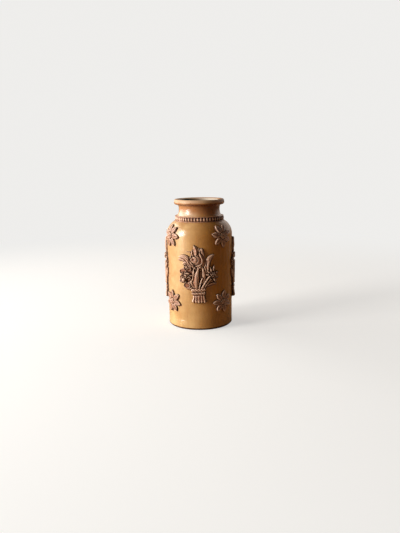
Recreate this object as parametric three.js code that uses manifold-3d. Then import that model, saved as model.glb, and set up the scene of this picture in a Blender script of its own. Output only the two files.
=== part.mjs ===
// Salt-glazed stoneware tobacco jar with applied sprig ornament.
// Units are millimetres and +Z is up. The origin is the middle of the foot, on the surface that the
// jar stands on, and the jar's front faces -Y. Azimuths are in degrees from the front, towards +X.

import * as THREE from 'three';
import { mergeVertices } from 'three/addons/utils/BufferGeometryUtils.js';
import Module from 'manifold-3d';

const wasm = await Module();
wasm.setup();

// Thrown body: its wall, shoulder, foot and floor
const jarHeight = 160;
const wallRadius = 41.3;
const wallThickness = 5;
const shoulderRound = 19.5;
const footTaper = 0.4;
const footBevel = 1.4;
const footRingWidth = 9.5;
const hollowDepth = 1.3;
const floorThickness = 7;
const floorFillet = 4;

// Neck, from the ledge under the collar to the top of the rim
const neckHeight = 27;
const neckRadius = 25.7;
const neckWall = 4.4;
const neckFillet = 3;

// Rolled rim: its overhang past the neck, its roll below, its band, its roll above and its flat land
const rimOverhang = 5.9;
const rimRollBelow = 2.2;
const rimBand = 1.2;
const rimRollAbove = 3.2;
const rimRollIn = 1.7;
const rimLandWidth = 1.3;
const lipDepth = 10;

// Beaded collar
const collarHeight = 6.6;
const collarThickness = 1.1;
const collarTopEdge = 0.6;
const collarBottomEdge = 1.2;
const collarEdgeHeight = 0.9;
const collarLedgeShow = 0.1;
const beadCount = 50;
const beadWidth = 2.7;
const beadStand = 0.9;

// Clearance behind each applied ornament
const seatGap = 0.3;

// Posies
const posyHeight = 70.5;
const posyRelief = 4.2;
const posyFirstAzimuth = -2.4;
const posyFoot = 36;
const rosePetals = 6;
const roseInnerPetals = 4;
const stalkCount = 5;

// Sprays at the sides, taller and narrower than the posies in front and behind
const sprayHeight = 77;
const sprayRelief = 4.3;
const sprayFoot = 34.5;
const sprayFlowerPetals = 5;
const sprayRosePetals = 5;
const sprayStalkCount = 4;

const posies = [
  { name: 'posy_front', step: 0, isSpray: false, level: posyFoot },
  { name: 'posy_right', step: 1, isSpray: true, level: sprayFoot },
  { name: 'posy_back', step: 2, isSpray: false, level: posyFoot + 0.4 },
  { name: 'posy_left', step: 3, isSpray: true, level: sprayFoot - 0.2 },
];

// Rosettes, which the potter placed and turned by eye
const rosetteReach = 13.8;
const rosettePetals = 7;
const rosettePetalWidth = 9;
const rosetteRelief = 3.1;
const rosetteTipRelief = 2.2;
const rosetteButtonRadius = 4;
const rosetteButtonRelief = 3.9;
const upperRosetteRaise = 1;
const lowerRosetteLevel = 34.5;

// Radii and heights that follow from the sizes of the body, the neck and the collar
const footRadius = wallRadius - footTaper;
const collarSeatRadius = neckRadius + neckFillet;
const collarInnerRadius = collarSeatRadius + seatGap;
const collarBandRadius = collarInnerRadius + collarThickness;
const ledgeRadius = collarBandRadius + collarBottomEdge + collarLedgeShow;
const ledgeHeight = jarHeight - neckHeight;
const shoulderSweep = Math.acos(1 - (wallRadius - ledgeRadius) / shoulderRound);
const shoulderStart = ledgeHeight - shoulderRound * Math.sin(shoulderSweep);
const neckBoreRadius = neckRadius - neckWall;
const rimRadius = neckRadius + rimOverhang;
const upperRosetteLevel = shoulderStart + upperRosetteRaise;

const rosettes = [
  { name: 'rosette_upper_front_right', azimuth: 40.5, level: upperRosetteLevel, turn: 20 },
  { name: 'rosette_upper_back_right', azimuth: 131, level: upperRosetteLevel, turn: 33 },
  { name: 'rosette_upper_back_left', azimuth: -143, level: upperRosetteLevel, turn: 4 },
  { name: 'rosette_upper_front_left', azimuth: -57.5, level: upperRosetteLevel, turn: 42 },
  { name: 'rosette_lower_front_right', azimuth: 41.5, level: lowerRosetteLevel, turn: 12 },
  { name: 'rosette_lower_back_right', azimuth: 129, level: lowerRosetteLevel, turn: 45 },
  { name: 'rosette_lower_back_left', azimuth: -141, level: lowerRosetteLevel, turn: 26 },
  { name: 'rosette_lower_front_left', azimuth: -55, level: lowerRosetteLevel, turn: -3 },
];

// Fineness of the curved surfaces
const bodySegments = 36;
const shoulderSteps = 6;
const flareSteps = 4;
const shortArcSteps = 3;
const bladeSides = 4;
const domeSides = 6;
const domeRings = 4;
const beadSides = 4;
const beadRings = 3;
const curlSides = 4;
const curlSteps = 8;

// Half widths of a blade, as shares of its full half width, each with its place from root to tip
const leafShape = [[0, 0], [0.7, 0.25], [1, 0.5], [0.75, 0.75], [0, 1]];
const rayShape = [[0, 0], [0.9, 0.35], [0.8, 0.7], [0, 1]];
const petalShape = [[0, 0], [0.82, 0.33], [1, 0.67], [0, 1]];
const stemShape = [[0, 0], [1, 0.3], [1, 0.7], [0, 1]];
const stalkShape = [[0, 0], [1, 0.4], [1, 0.96], [0, 1]];
const turnShape = [[0, 0], [1, 0.1], [1, 0.9], [0, 1]];

const radians = THREE.MathUtils.degToRad;

// Points of an elliptical arc in the radius and height plane, with both ends
function arc(centre, reach, fromDegrees, toDegrees, steps) {
  const points = [];
  for (let step = 0; step <= steps; step += 1) {
    const angle = radians(THREE.MathUtils.lerp(fromDegrees, toDegrees, step / steps));
    points.push(new THREE.Vector2(
      centre.x + reach.x * Math.cos(angle),
      centre.y + reach.y * Math.sin(angle),
    ));
  }
  return points;
}

const point = (radius, height) => new THREE.Vector2(radius, height);

// Outer wall from the foot's bevel to the collar's ledge, moved outwards by a clearance
function outerWall(clearance) {
  const centre = point(wallRadius - shoulderRound, shoulderStart);
  const reach = shoulderRound + clearance;
  const sweep = THREE.MathUtils.radToDeg(shoulderSweep);
  return [
    point(footRadius + clearance, footBevel),
    ...arc(centre, point(reach, reach), 0, sweep, shoulderSteps),
  ];
}

// Turns a profile about the vertical axis
function turned(profile, segments) {
  return new THREE.LatheGeometry(profile, segments).rotateX(Math.PI / 2);
}

// Outside of the neck and the rolled rim, from the collar's seat up to the rim's flat land
function neckAndRim() {
  const filletTop = ledgeHeight + collarHeight + neckFillet;
  const rimUnderside = jarHeight - rimRollAbove - rimBand - rimRollBelow;
  const rollStart = rimRadius - rimRollBelow;
  const landEdge = rimRadius - rimRollIn;
  return [
    point(collarSeatRadius, ledgeHeight),
    ...arc(point(collarSeatRadius, filletTop), point(neckFillet, neckFillet), 270, 180, shortArcSteps),
    ...arc(
      point(rollStart, filletTop), point(rollStart - neckRadius, rimUnderside - filletTop),
      180, 90, flareSteps,
    ).slice(1),
    ...arc(
      point(rollStart, rimUnderside + rimRollBelow), point(rimRollBelow, rimRollBelow),
      270, 360, shortArcSteps,
    ).slice(1),
    ...arc(
      point(landEdge, jarHeight - rimRollAbove), point(rimRollIn, rimRollAbove),
      0, 90, shortArcSteps,
    ),
  ];
}

// Inside of the jar, from the rim's flat land down to the middle of the floor
function inside() {
  const landEdge = rimRadius - rimRollIn - rimLandWidth;
  const chamberRadius = wallRadius - wallThickness;
  const chamberRound = shoulderRound - wallThickness;
  const cornerRadius = footRadius - wallThickness - floorFillet;
  return [
    ...arc(
      point(landEdge, jarHeight - lipDepth), point(landEdge - neckBoreRadius, lipDepth),
      90, 180, flareSteps,
    ),
    point(neckBoreRadius, ledgeHeight),
    ...arc(
      point(chamberRadius - chamberRound, shoulderStart), point(chamberRound, chamberRound),
      THREE.MathUtils.radToDeg(shoulderSweep), 0, shortArcSteps,
    ),
    ...arc(
      point(cornerRadius, floorThickness + floorFillet), point(floorFillet, floorFillet),
      0, -90, shortArcSteps,
    ),
    point(0, floorThickness),
  ];
}

// Section of the thrown body, from the middle of the base, up the outside and down the inside
function bodySection() {
  const ringOuter = footRadius - footBevel;
  const ringInner = ringOuter - footRingWidth;
  return [
    point(0, hollowDepth),
    point(ringInner - hollowDepth, hollowDepth),
    point(ringInner, 0),
    point(ringOuter, 0),
    ...outerWall(0),
    ...neckAndRim(),
    ...inside(),
  ];
}

// A closed geometry as a solid that can be joined and cut
function solid(geometry) {
  const bare = geometry.clone();
  bare.deleteAttribute('normal');
  bare.deleteAttribute('uv');
  const merged = mergeVertices(bare);
  const corners = merged.index.array;
  const faces = [];
  for (let at = 0; at < corners.length; at += 3) {
    const [a, b, c] = corners.slice(at, at + 3);
    if (a !== b && b !== c && c !== a) {
      faces.push(a, b, c);
    }
  }
  return new wasm.Manifold(new wasm.Mesh({
    numProp: 3,
    vertProperties: new Float32Array(merged.attributes.position.array),
    triVerts: new Uint32Array(faces),
  }));
}

const joined = (solids) => solids.reduce((whole, piece) => whole.add(piece));

// The solid's surface as a geometry
function surface(piece) {
  const mesh = piece.getMesh();
  const geometry = new THREE.BufferGeometry();
  geometry.setAttribute('position', new THREE.BufferAttribute(mesh.vertProperties, mesh.numProp));
  geometry.setIndex(new THREE.BufferAttribute(mesh.triVerts, 1));
  geometry.computeVertexNormals();
  return geometry;
}

// Place on the outer wall: the climb is measured along the wall from the shoulder's start, the
// distance across is measured round the wall, and the stand is square to it
function ontoWall(azimuth, across, climb, stand) {
  const taper = (wallRadius - footRadius) / (shoulderStart - footBevel);
  const bend = Math.max(climb, 0) / shoulderRound;
  const straight = Math.min(climb, 0);
  const radius = wallRadius + straight * taper - shoulderRound * (1 - Math.cos(bend));
  const height = shoulderStart + straight + shoulderRound * Math.sin(bend);
  const reach = radius + stand * Math.cos(bend);
  const angle = radians(azimuth) + across / radius;
  return new THREE.Vector3(
    reach * Math.sin(angle),
    -reach * Math.cos(angle),
    height + stand * Math.sin(bend),
  );
}

// Climb at which the wall has a height
function climbTo(height) {
  const above = height - shoulderStart;
  return above > 0 ? shoulderRound * Math.asin(above / shoulderRound) : above;
}

// A sprig's flat form, with x across, y up and z out of the wall, laid on the wall
function laidOnWall(flat, azimuth, level) {
  const geometry = flat.clone();
  const place = geometry.attributes.position;
  for (let at = 0; at < place.count; at += 1) {
    const climb = climbTo(level) + place.getY(at);
    const spot = ontoWall(azimuth, place.getX(at), climb, place.getZ(at));
    place.setXYZ(at, spot.x, spot.y, spot.z);
  }
  return geometry;
}

// Blade that follows a curve on the flat: a spindle of the given shape, flattened and bent.
// The root, pull and tip are the curve's points, and the rises are its heights at root and tip.
// Its ridge keeps its height where the blade narrows, as the square root of the width's share.
function blade(shape, root, pull, tip, width, rise, tipRise = rise) {
  const outline = shape.map(([share, along]) => point(share, along));
  const geometry = new THREE.LatheGeometry(outline, bladeSides);
  const curve = new THREE.QuadraticBezierCurve(point(...root), point(...pull), point(...tip));
  const place = geometry.attributes.position;
  for (let at = 0; at < place.count; at += 1) {
    const along = THREE.MathUtils.clamp(place.getY(at), 0, 1);
    const centre = curve.getPoint(along);
    const heading = curve.getTangent(along);
    const aside = place.getX(at) * width / 2;
    const ridge = Math.sign(place.getZ(at)) * Math.sqrt(Math.abs(place.getZ(at)));
    const height = ridge * THREE.MathUtils.lerp(rise, tipRise, along);
    place.setXYZ(at, centre.x + heading.y * aside, centre.y - heading.x * aside, height);
  }
  return geometry;
}

// Low dome on the flat
function dome(centre, radius, rise) {
  return new THREE.SphereGeometry(1, domeSides, domeRings)
    .rotateX(Math.PI / 2)
    .scale(radius, radius, rise)
    .translate(centre[0], centre[1], 0);
}

// Straight petals set out round a centre
function whorl(shape, centre, count, inner, outer, width, rise, tipRise, turnDegrees) {
  const petals = [];
  for (let index = 0; index < count; index += 1) {
    const angle = radians(90 - turnDegrees - index * 360 / count);
    const at = (reach) => [
      centre[0] + reach * Math.cos(angle),
      centre[1] + reach * Math.sin(angle),
    ];
    const middle = (inner + outer) / 2;
    petals.push(blade(shape, at(inner), at(middle), at(outer), width, rise, tipRise));
  }
  return petals;
}

// Drawing of a sprig in hundredths of its height, from the middle of its binding across and from
// its cut stalks up. Rises are shares of its relief.
function drawing(height, relief) {
  const grid = height / 100;
  const spot = (at) => at.map((value) => value * grid);
  return {
    blade: (shape, root, pull, tip, width, rise, tipRise = rise) => blade(
      shape, spot(root), spot(pull), spot(tip), width * grid, rise * relief, tipRise * relief,
    ),
    whorl: (centre, count, inner, outer, width, rise, tipRise, turnDegrees) => whorl(
      petalShape, spot(centre), count, inner * grid, outer * grid,
      width * grid, rise * relief, tipRise * relief, turnDegrees,
    ),
    dome: (centre, radius, rise) => dome(spot(centre), radius * grid, rise * relief),
    curl: (centre, radius, thickness, lift) => new THREE.TorusGeometry(
      radius * grid, thickness * grid, curlSides, curlSteps,
    ).translate(...spot(centre), lift * relief),
  };
}

const onPosy = drawing(posyHeight, posyRelief);
const onSpray = drawing(sprayHeight, sprayRelief);

// Full-blown rose on the left: two rings of petals round a domed heart
function rose() {
  const centre = [-20, 44.4];
  return [
    ...onPosy.whorl(centre, rosePetals, 4, 17, 13.5, 0.66, 0.66, 14),
    ...onPosy.whorl(centre, roseInnerPetals, 1, 11, 11, 0.9, 0.9, 38),
    onPosy.dome(centre, 4, 1.06),
  ];
}

// Cornflower on the right: pointed rays round a domed heart
function cornflower() {
  const centre = [23, 47.6];
  const heart = [24.4, 48.4];
  const rayWidth = 7;
  const rayTips = [
    [9.5, 50], [13, 58], [19, 64.5], [26.5, 67], [34, 54.5], [34.5, 43], [28.5, 35], [20, 36],
  ];
  return [
    ...rayTips.map((tip) => onPosy.blade(rayShape, centre, centre, tip, rayWidth, 0.75, 0.7)),
    onPosy.dome(heart, 6.2, 1),
  ];
}

// Opening bud in the middle, with a curled heart and a cup of petals
function openingBud() {
  const heart = [-6.7, 75.8];
  return [
    onPosy.dome(heart, 7.6, 0.94),
    onPosy.curl(heart, 5, 2, 0.64),
    onPosy.blade(leafShape, [-3, 59], [11, 68], [1, 89], 12, 0.8, 0.8),
    onPosy.blade(leafShape, [-4, 59], [-15.5, 66], [-12.5, 85], 8, 0.7, 0.62),
    onPosy.blade(petalShape, [-3, 59], [-4, 66], [-5, 73], 13, 0.8, 0.9),
  ];
}

// Closed bud at the top, with a flame-shaped tip between its sepals
function closedBud() {
  return [
    onPosy.blade(leafShape, [-5, 77], [-1, 91], [-8.3, 101], 10, 0.85, 0.7),
    onPosy.blade(rayShape, [-7, 79], [-13.2, 86], [-9.6, 94], 5.6, 0.7, 0.5),
    onPosy.blade(rayShape, [-2.4, 79], [3.8, 87], [0.8, 97], 6, 0.7, 0.5),
  ];
}

// Leaves that fill the spray, over a low web of clay behind the middle ones
function foliage() {
  return [
    onPosy.blade(rayShape, [0, 22], [-2, 42], [-3, 68], 17, 0.42),
    onPosy.blade(leafShape, [-13, 56], [-13.5, 87], [-37.5, 79], 10, 0.9, 0.6),
    onPosy.blade(rayShape, [-15, 68], [-27, 80], [-39, 73.5], 7, 0.6, 0.45),
    onPosy.blade(rayShape, [-14, 66], [-21, 75], [-29.5, 66.5], 6.6, 0.6, 0.45),
    onPosy.dome([-20.6, 62.6], 6.4, 0.66),
    onPosy.blade(leafShape, [9, 42], [15.5, 68], [5, 96], 6.6, 0.6, 0.66),
    onPosy.blade(leafShape, [16.5, 52], [11, 80], [28, 84], 9.6, 0.8, 0.6),
    onPosy.blade(rayShape, [1, 56], [8, 64], [15, 74], 9, 0.55, 0.5),
    onPosy.blade(leafShape, [-5, 19], [-9.6, 44], [-6.6, 65], 8, 0.85, 0.8),
    onPosy.blade(leafShape, [-2, 20], [6.4, 44], [-3, 62.5], 8.6, 1, 0.85),
    onPosy.blade(leafShape, [4, 21], [13, 46], [3.2, 65], 7.8, 0.8, 0.7),
    onPosy.blade(rayShape, [7, 26], [17, 36], [33, 34.5], 8, 0.6, 0.45),
    onPosy.blade(rayShape, [-5, 26], [-16, 23.5], [-28, 27.5], 6, 0.55, 0.4),
  ];
}

// Stems from the binding to the flowers
function stems() {
  return [
    onPosy.blade(stemShape, [-3, 18], [-8, 27], [-14, 38], 5, 0.64),
    onPosy.blade(stemShape, [0.6, 18], [0.8, 33], [6.4, 45], 4, 0.88),
    onPosy.blade(stemShape, [2.5, 18], [7.5, 34], [19.4, 47.5], 4.8, 0.88),
    onPosy.blade(stemShape, [4.5, 18], [10, 30], [21, 41.6], 4.6, 0.74),
  ];
}

// Two turns of cord round the stems, and the cut stalks that spread below them
function binding() {
  const halfTurn = 12.5;
  const turnLevels = [22.2, 16.3];
  const turns = turnLevels.map((level) => onPosy.blade(
    turnShape, [-halfTurn, level], [0, level], [halfTurn, level], 7.4, 0.9,
  ));
  const stalks = [];
  for (let index = 0; index < stalkCount; index += 1) {
    const side = (2 * index + 1 - stalkCount) / stalkCount;
    stalks.push(onPosy.blade(
      stalkShape, [side * 9.5, 22], [side * 8, 9], [side * 13, 0], 6.2, 0.7, 0.88,
    ));
  }
  return [...turns, ...stalks];
}

// Flowers of the spray: a rose under a closed bud, and an open flower on each side
function sprayFlowers() {
  const rose = [0, 70];
  const sides = [[-9.5, 60.5], [9.2, 62]];
  return [
    ...sides.flatMap((centre) => [
      ...onSpray.whorl(centre, sprayFlowerPetals, 0.5, 7.2, 6.6, 0.72, 0.66, 18),
      onSpray.dome(centre, 2.6, 0.95),
    ]),
    onSpray.blade(leafShape, [0.5, 78], [3, 91], [-0.5, 101], 8.6, 0.85, 0.7),
    onSpray.blade(rayShape, [-1.5, 77], [-6.4, 86], [-3.8, 94], 4.8, 0.7, 0.5),
    onSpray.blade(rayShape, [1.8, 77], [6.6, 87], [4.2, 95], 4.8, 0.7, 0.5),
    ...onSpray.whorl(rose, sprayRosePetals, 1, 9.6, 9, 0.76, 0.8, 8),
    onSpray.curl(rose, 3.6, 1.7, 0.66),
    onSpray.dome(rose, 4, 0.98),
  ];
}

// Leaves and stems of the spray, over a low web of clay
function sprayLeaves() {
  return [
    onSpray.blade(rayShape, [0, 14], [0, 48], [0, 86], 15, 0.42),
    onSpray.blade(leafShape, [-2, 33], [-12, 35], [-16.4, 51], 7.4, 0.75, 0.5),
    onSpray.blade(leafShape, [2, 35], [12, 37], [16, 53], 7.4, 0.75, 0.5),
    onSpray.blade(stemShape, [-2.4, 15], [-4.6, 40], [-9.4, 56], 3.8, 0.72),
    onSpray.blade(stemShape, [2.4, 15], [4.8, 40], [9.2, 58], 3.8, 0.72),
    onSpray.blade(leafShape, [-2, 17], [-9, 34], [-3.4, 54], 6.4, 0.82, 0.7),
    onSpray.blade(leafShape, [2, 17], [9, 38], [3.6, 58], 6.4, 0.82, 0.7),
    onSpray.blade(stemShape, [0, 14], [1.4, 40], [0, 66], 4.8, 0.95),
  ];
}

// Two turns of cord round the spray, and its cut stalks
function sprayBinding() {
  const halfTurn = 8.6;
  const turnLevels = [18.6, 13.6];
  const turns = turnLevels.map((level) => onSpray.blade(
    turnShape, [-halfTurn, level], [0, level], [halfTurn, level], 6, 0.88,
  ));
  const stalks = [];
  for (let index = 0; index < sprayStalkCount; index += 1) {
    const side = (2 * index + 1 - sprayStalkCount) / sprayStalkCount;
    stalks.push(onSpray.blade(
      stalkShape, [side * 6, 18], [side * 5.4, 8], [side * 8, 0], 4.6, 0.62, 0.8,
    ));
  }
  return [...turns, ...stalks];
}

const cutterReach = Math.max(posyRelief, sprayRelief);
const wallCutter = solid(turned([
  point(0, footBevel - cutterReach),
  point(footRadius + seatGap, footBevel - cutterReach),
  ...outerWall(seatGap),
  point(0, ledgeHeight + cutterReach),
], bodySegments));

// Joins a sprig's forms on the wall, and cuts its back to the wall with the seat's clearance
function sprig(forms, azimuth, level) {
  const whole = joined(forms.map((form) => solid(laidOnWall(form, azimuth, level))));
  return surface(whole.subtract(wallCutter));
}

function posyForms() {
  return [
    ...rose(), ...cornflower(), ...openingBud(), ...closedBud(),
    ...foliage(), ...stems(), ...binding(),
  ];
}

function sprayForms() {
  return [...sprayFlowers(), ...sprayLeaves(), ...sprayBinding()];
}

function posy(step, isSpray, level) {
  const forms = isSpray ? sprayForms() : posyForms();
  return sprig(forms, posyFirstAzimuth + step * 360 / posies.length, level);
}

function rosette(azimuth, level, turn) {
  const middle = [0, 0];
  const petals = whorl(
    petalShape, middle, rosettePetals, 0, rosetteReach, rosettePetalWidth,
    rosetteRelief, rosetteTipRelief, turn,
  );
  return sprig(
    [...petals, dome(middle, rosetteButtonRadius, rosetteButtonRelief)], azimuth, level,
  );
}

// Beaded strip round the root of the neck
function beadCollar() {
  const bottom = ledgeHeight + seatGap;
  const top = ledgeHeight + collarHeight;
  const section = [
    point(collarInnerRadius, bottom),
    point(collarBandRadius + collarBottomEdge, bottom),
    point(collarBandRadius + collarBottomEdge, bottom + collarEdgeHeight),
    point(collarBandRadius, bottom + collarEdgeHeight),
    point(collarBandRadius, top - collarEdgeHeight),
    point(collarBandRadius + collarTopEdge, top - collarEdgeHeight),
    point(collarBandRadius + collarTopEdge, top),
    point(collarInnerRadius, top),
    point(collarInnerRadius, bottom),
  ];
  const beadHeight = top - bottom - 2 * collarEdgeHeight;
  const beads = [];
  for (let index = 0; index < beadCount; index += 1) {
    const bead = new THREE.SphereGeometry(1, beadSides, beadRings)
      .rotateX(Math.PI / 2)
      .scale(beadWidth / 2, beadStand, beadHeight / 2)
      .translate(0, -collarBandRadius, (bottom + top) / 2)
      .rotateZ((index + 0.5) * 2 * Math.PI / beadCount);
    beads.push(solid(bead));
  }
  return surface(joined([solid(turned(section, beadCount)), ...beads]));
}

const bodyGlaze = new THREE.MeshStandardMaterial({ color: '#b5803f', roughness: 0.3, metalness: 0 });
const sprigGlaze = new THREE.MeshStandardMaterial({ color: '#744a33', roughness: 0.36, metalness: 0 });

const jar = new THREE.Group();

function addPiece(name, geometry, material) {
  const mesh = new THREE.Mesh(geometry, material.clone());
  mesh.name = name;
  jar.add(mesh);
}

addPiece('jar_body', turned(bodySection(), bodySegments), bodyGlaze);
addPiece('bead_collar', beadCollar(), sprigGlaze);
for (const { name, step, isSpray, level } of posies) {
  addPiece(name, posy(step, isSpray, level), sprigGlaze);
}
for (const { name, azimuth, level, turn } of rosettes) {
  addPiece(name, rosette(azimuth, level, turn), sprigGlaze);
}

export default jar;
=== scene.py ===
"""Looks of a salt-glazed stoneware tobacco jar: its glazes, beaded collar and applied sprigs.

Shapes are worked out in millimetres and put into the meshes in metres. Azimuths are in degrees from
the jar's front, which faces -Y, towards +X. A sprig is drawn on the flat, across and up, as a height
over the wall, and then laid on the jar's wall.
"""

import logging
import math
from dataclasses import dataclass, replace
from enum import Enum
from functools import partial, reduce
from typing import Callable, Sequence

import bpy
import numpy as np
from mathutils import Matrix, Vector


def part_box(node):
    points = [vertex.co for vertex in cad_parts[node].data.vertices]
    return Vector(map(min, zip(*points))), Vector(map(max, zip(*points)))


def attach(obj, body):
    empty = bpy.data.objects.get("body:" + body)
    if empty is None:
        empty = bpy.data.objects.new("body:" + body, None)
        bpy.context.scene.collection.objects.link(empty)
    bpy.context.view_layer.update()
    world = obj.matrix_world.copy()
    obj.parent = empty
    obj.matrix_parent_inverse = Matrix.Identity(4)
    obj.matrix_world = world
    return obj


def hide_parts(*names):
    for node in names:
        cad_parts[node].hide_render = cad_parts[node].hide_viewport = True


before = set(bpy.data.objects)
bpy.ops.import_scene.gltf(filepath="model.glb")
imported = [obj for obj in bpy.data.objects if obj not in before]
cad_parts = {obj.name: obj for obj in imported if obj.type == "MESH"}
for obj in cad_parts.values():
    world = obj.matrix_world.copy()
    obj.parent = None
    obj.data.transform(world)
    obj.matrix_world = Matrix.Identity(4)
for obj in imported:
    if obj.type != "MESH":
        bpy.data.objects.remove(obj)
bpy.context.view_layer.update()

log = logging.getLogger("tobacco_jar")

MM = 0.001
SAME = 1e-6
BODY = "root"
POOL_AND_SHADE = "pool_and_shade"
CREST = "crest"
INSIDE = "inside"
BARE = "bare"

Point = tuple[float, float]
Array = np.ndarray
Colour = tuple[float, float, float]
Node = bpy.types.Node
Socket = bpy.types.NodeSocket


# Mesh tools


def arc(
    centre: Point, reach: Point | float, start: float, end: float, steps: int, power: float = 1.0,
) -> Array:
    """Points of an arc: centre plus reach times the cosine and sine of the angle, each to a power.

    Args:
        centre: Radius and height of the arc's centre.
        reach: Half axes along the radius and the height, or one number for both.
        start: First angle, in degrees.
        end: Last angle, in degrees.
        steps: Number of steps from the first angle to the last.
        power: 1 for an ellipse, and less for an arc with a tighter corner.

    Returns:
        Points with both ends, one row each, as radius and height.
    """
    angle = np.radians(np.linspace(start, end, steps + 1))
    turned = np.stack([np.cos(angle), np.sin(angle)], axis=-1)
    return np.array(centre) + np.array(reach) * np.sign(turned) * np.abs(turned) ** power


def line(start: Point, end: Point, step: float) -> Array:
    """Points of a straight line, evenly spaced.

    Args:
        start: First point.
        end: Last point.
        step: Largest distance between two points.

    Returns:
        Points with both ends, one row each.
    """
    steps = max(1, math.ceil(math.dist(start, end) / step))
    share = np.linspace(0, 1, steps + 1)[:, None]
    return np.array(start) * (1 - share) + np.array(end) * share


def run_on(*stretches: Array) -> Array:
    """Joins stretches of a profile, and drops a point that repeats the one before it.

    Args:
        stretches: Stretches of points, in order.

    Returns:
        All the points, one row each.
    """
    points = np.vstack(stretches)
    moved = np.linalg.norm(np.diff(points, axis=0), axis=1) > SAME
    return points[np.concatenate([[True], moved])]


def ring_faces(rows: int, columns: int, closed_section: bool) -> Array:
    """Quads between neighbouring points of a turned surface, whose columns close round the axis.

    Args:
        rows: Number of points along the profile.
        columns: Number of points round the axis.
        closed_section: Whether the last row also joins the first.

    Returns:
        Corner numbers, four in each row, facing outwards for a profile that climbs outside.
    """
    index = np.arange(rows * columns).reshape(rows, columns)
    above = np.roll(index, -1, axis=0)
    last = rows if closed_section else rows - 1
    beside, beside_above = (np.roll(grid, -1, axis=1) for grid in (index, above))
    corners = [grid[:last] for grid in (index, beside, beside_above, above)]
    return np.stack(corners, axis=-1).reshape(-1, 4)


def round_axis(radius: Array, angle: Array, height: Array) -> Array:
    """Places round the jar's axis.

    Args:
        radius: Distances from the axis.
        angle: Azimuths, in radians.
        height: Heights.

    Returns:
        Places, one row each.
    """
    spots = np.broadcast_arrays(radius * np.sin(angle), -radius * np.cos(angle), height)
    return np.stack(spots, axis=-1).reshape(-1, 3)


def mesh_object(
    name: str, points: Array, faces: Sequence[Array], values: dict[str, Array],
) -> bpy.types.Object:
    """Makes a smooth mesh object at the origin, with its place in its mesh.

    Args:
        name: Name of the object.
        points: Places of the vertices, in millimetres, one row each.
        faces: Arrays of corner numbers, with the same number of corners in each array's rows.
        values: Attributes by name, with one number for each vertex.

    Returns:
        The new object, linked to the scene.
    """
    corners = np.concatenate([part.ravel() for part in faces])
    counts = np.concatenate([np.full(len(part), part.shape[1]) for part in faces])
    mesh = bpy.data.meshes.new(name)
    mesh.vertices.add(len(points))
    mesh.vertices.foreach_set("co", (points * MM).astype(np.float32).ravel())
    mesh.loops.add(len(corners))
    mesh.loops.foreach_set("vertex_index", corners.astype(np.int32))
    mesh.polygons.add(len(counts))
    starts = np.concatenate([[0], np.cumsum(counts)[:-1]])
    mesh.polygons.foreach_set("loop_start", starts.astype(np.int32))
    mesh.polygons.foreach_set("use_smooth", np.ones(len(counts), bool))
    for label, value in values.items():
        attribute = mesh.attributes.new(label, "FLOAT", "POINT")
        attribute.data.foreach_set("value", value.astype(np.float32))
    mesh.update(calc_edges=True)
    mesh.validate()
    piece = bpy.data.objects.new(name, mesh)
    bpy.context.scene.collection.objects.link(piece)
    return piece


def place_piece(piece: bpy.types.Object, node: str, material: bpy.types.Material) -> None:
    """Gives a piece its glaze and puts it in the place of a CAD node.

    Args:
        piece: The finished piece.
        node: CAD node that it stands for.
        material: Its glaze.
    """
    piece.data.materials.append(material)
    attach(piece, BODY)
    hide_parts(node)
    log.info("%s: %d vertices, %d faces", piece.name, len(piece.data.vertices), len(piece.data.polygons))


def soften(field_values: Array, passes: int) -> Array:
    """Blurs a grid: each pass averages a point with its neighbours in weights 1, 2, 1, both ways.

    Args:
        field_values: Grid of numbers.
        passes: Number of passes.

    Returns:
        The blurred grid.
    """
    soft = field_values
    for _ in range(passes):
        wide = np.pad(soft, ((0, 0), (1, 1)), mode="edge")
        soft = (wide[:, :-2] + 2 * wide[:, 1:-1] + wide[:, 2:]) / 4
        tall = np.pad(soft, ((1, 1), (0, 0)), mode="edge")
        soft = (tall[:-2] + 2 * tall[1:-1] + tall[2:]) / 4
    return soft


def peak_near(grid: Array, cells: int) -> Array:
    """Largest value near each point of a grid.

    Args:
        grid: Grid of numbers.
        cells: How many cells away to look.

    Returns:
        Grid of the largest values.
    """
    side = 2 * cells + 1
    windows = np.lib.stride_tricks.sliding_window_view(np.pad(grid, cells, mode="edge"), (side, side))
    return windows.max(axis=(2, 3))


def bell(distance: Array, width: float) -> Array:
    """Smooth hump that is 1 at distance 0 and falls as the exponential of minus its square."""
    return np.exp(-((distance / width) ** 2))


# The jar's wall


@dataclass(frozen=True)
class JarSizes:
    """Sizes of the jar that the frame gives, in millimetres.

    Attributes:
        height: Height of the jar.
        wall_radius: Radius of the wall under the shoulder.
        ledge_height: Height of the ledge that carries the collar.
        ledge_radius: Radius of that ledge.
        collar_top: Height of the collar's top edge.
    """

    height: float
    wall_radius: float
    ledge_height: float
    ledge_radius: float
    collar_top: float

    @classmethod
    def from_frame(cls) -> "JarSizes":
        """Reads the sizes from the boxes of the body and the collar.

        Returns:
            The sizes.
        """
        seat_gap = 0.3
        ledge_show = 0.1
        body_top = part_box("jar_body")[1]
        collar_low, collar_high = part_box("bead_collar")
        collar_reach = max(abs(value) for corner in (collar_low, collar_high) for value in corner.xy)
        return cls(
            height=body_top.z / MM,
            wall_radius=body_top.x / MM,
            ledge_height=collar_low.z / MM - seat_gap,
            ledge_radius=collar_reach / MM + ledge_show,
            collar_top=collar_high.z / MM,
        )


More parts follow.
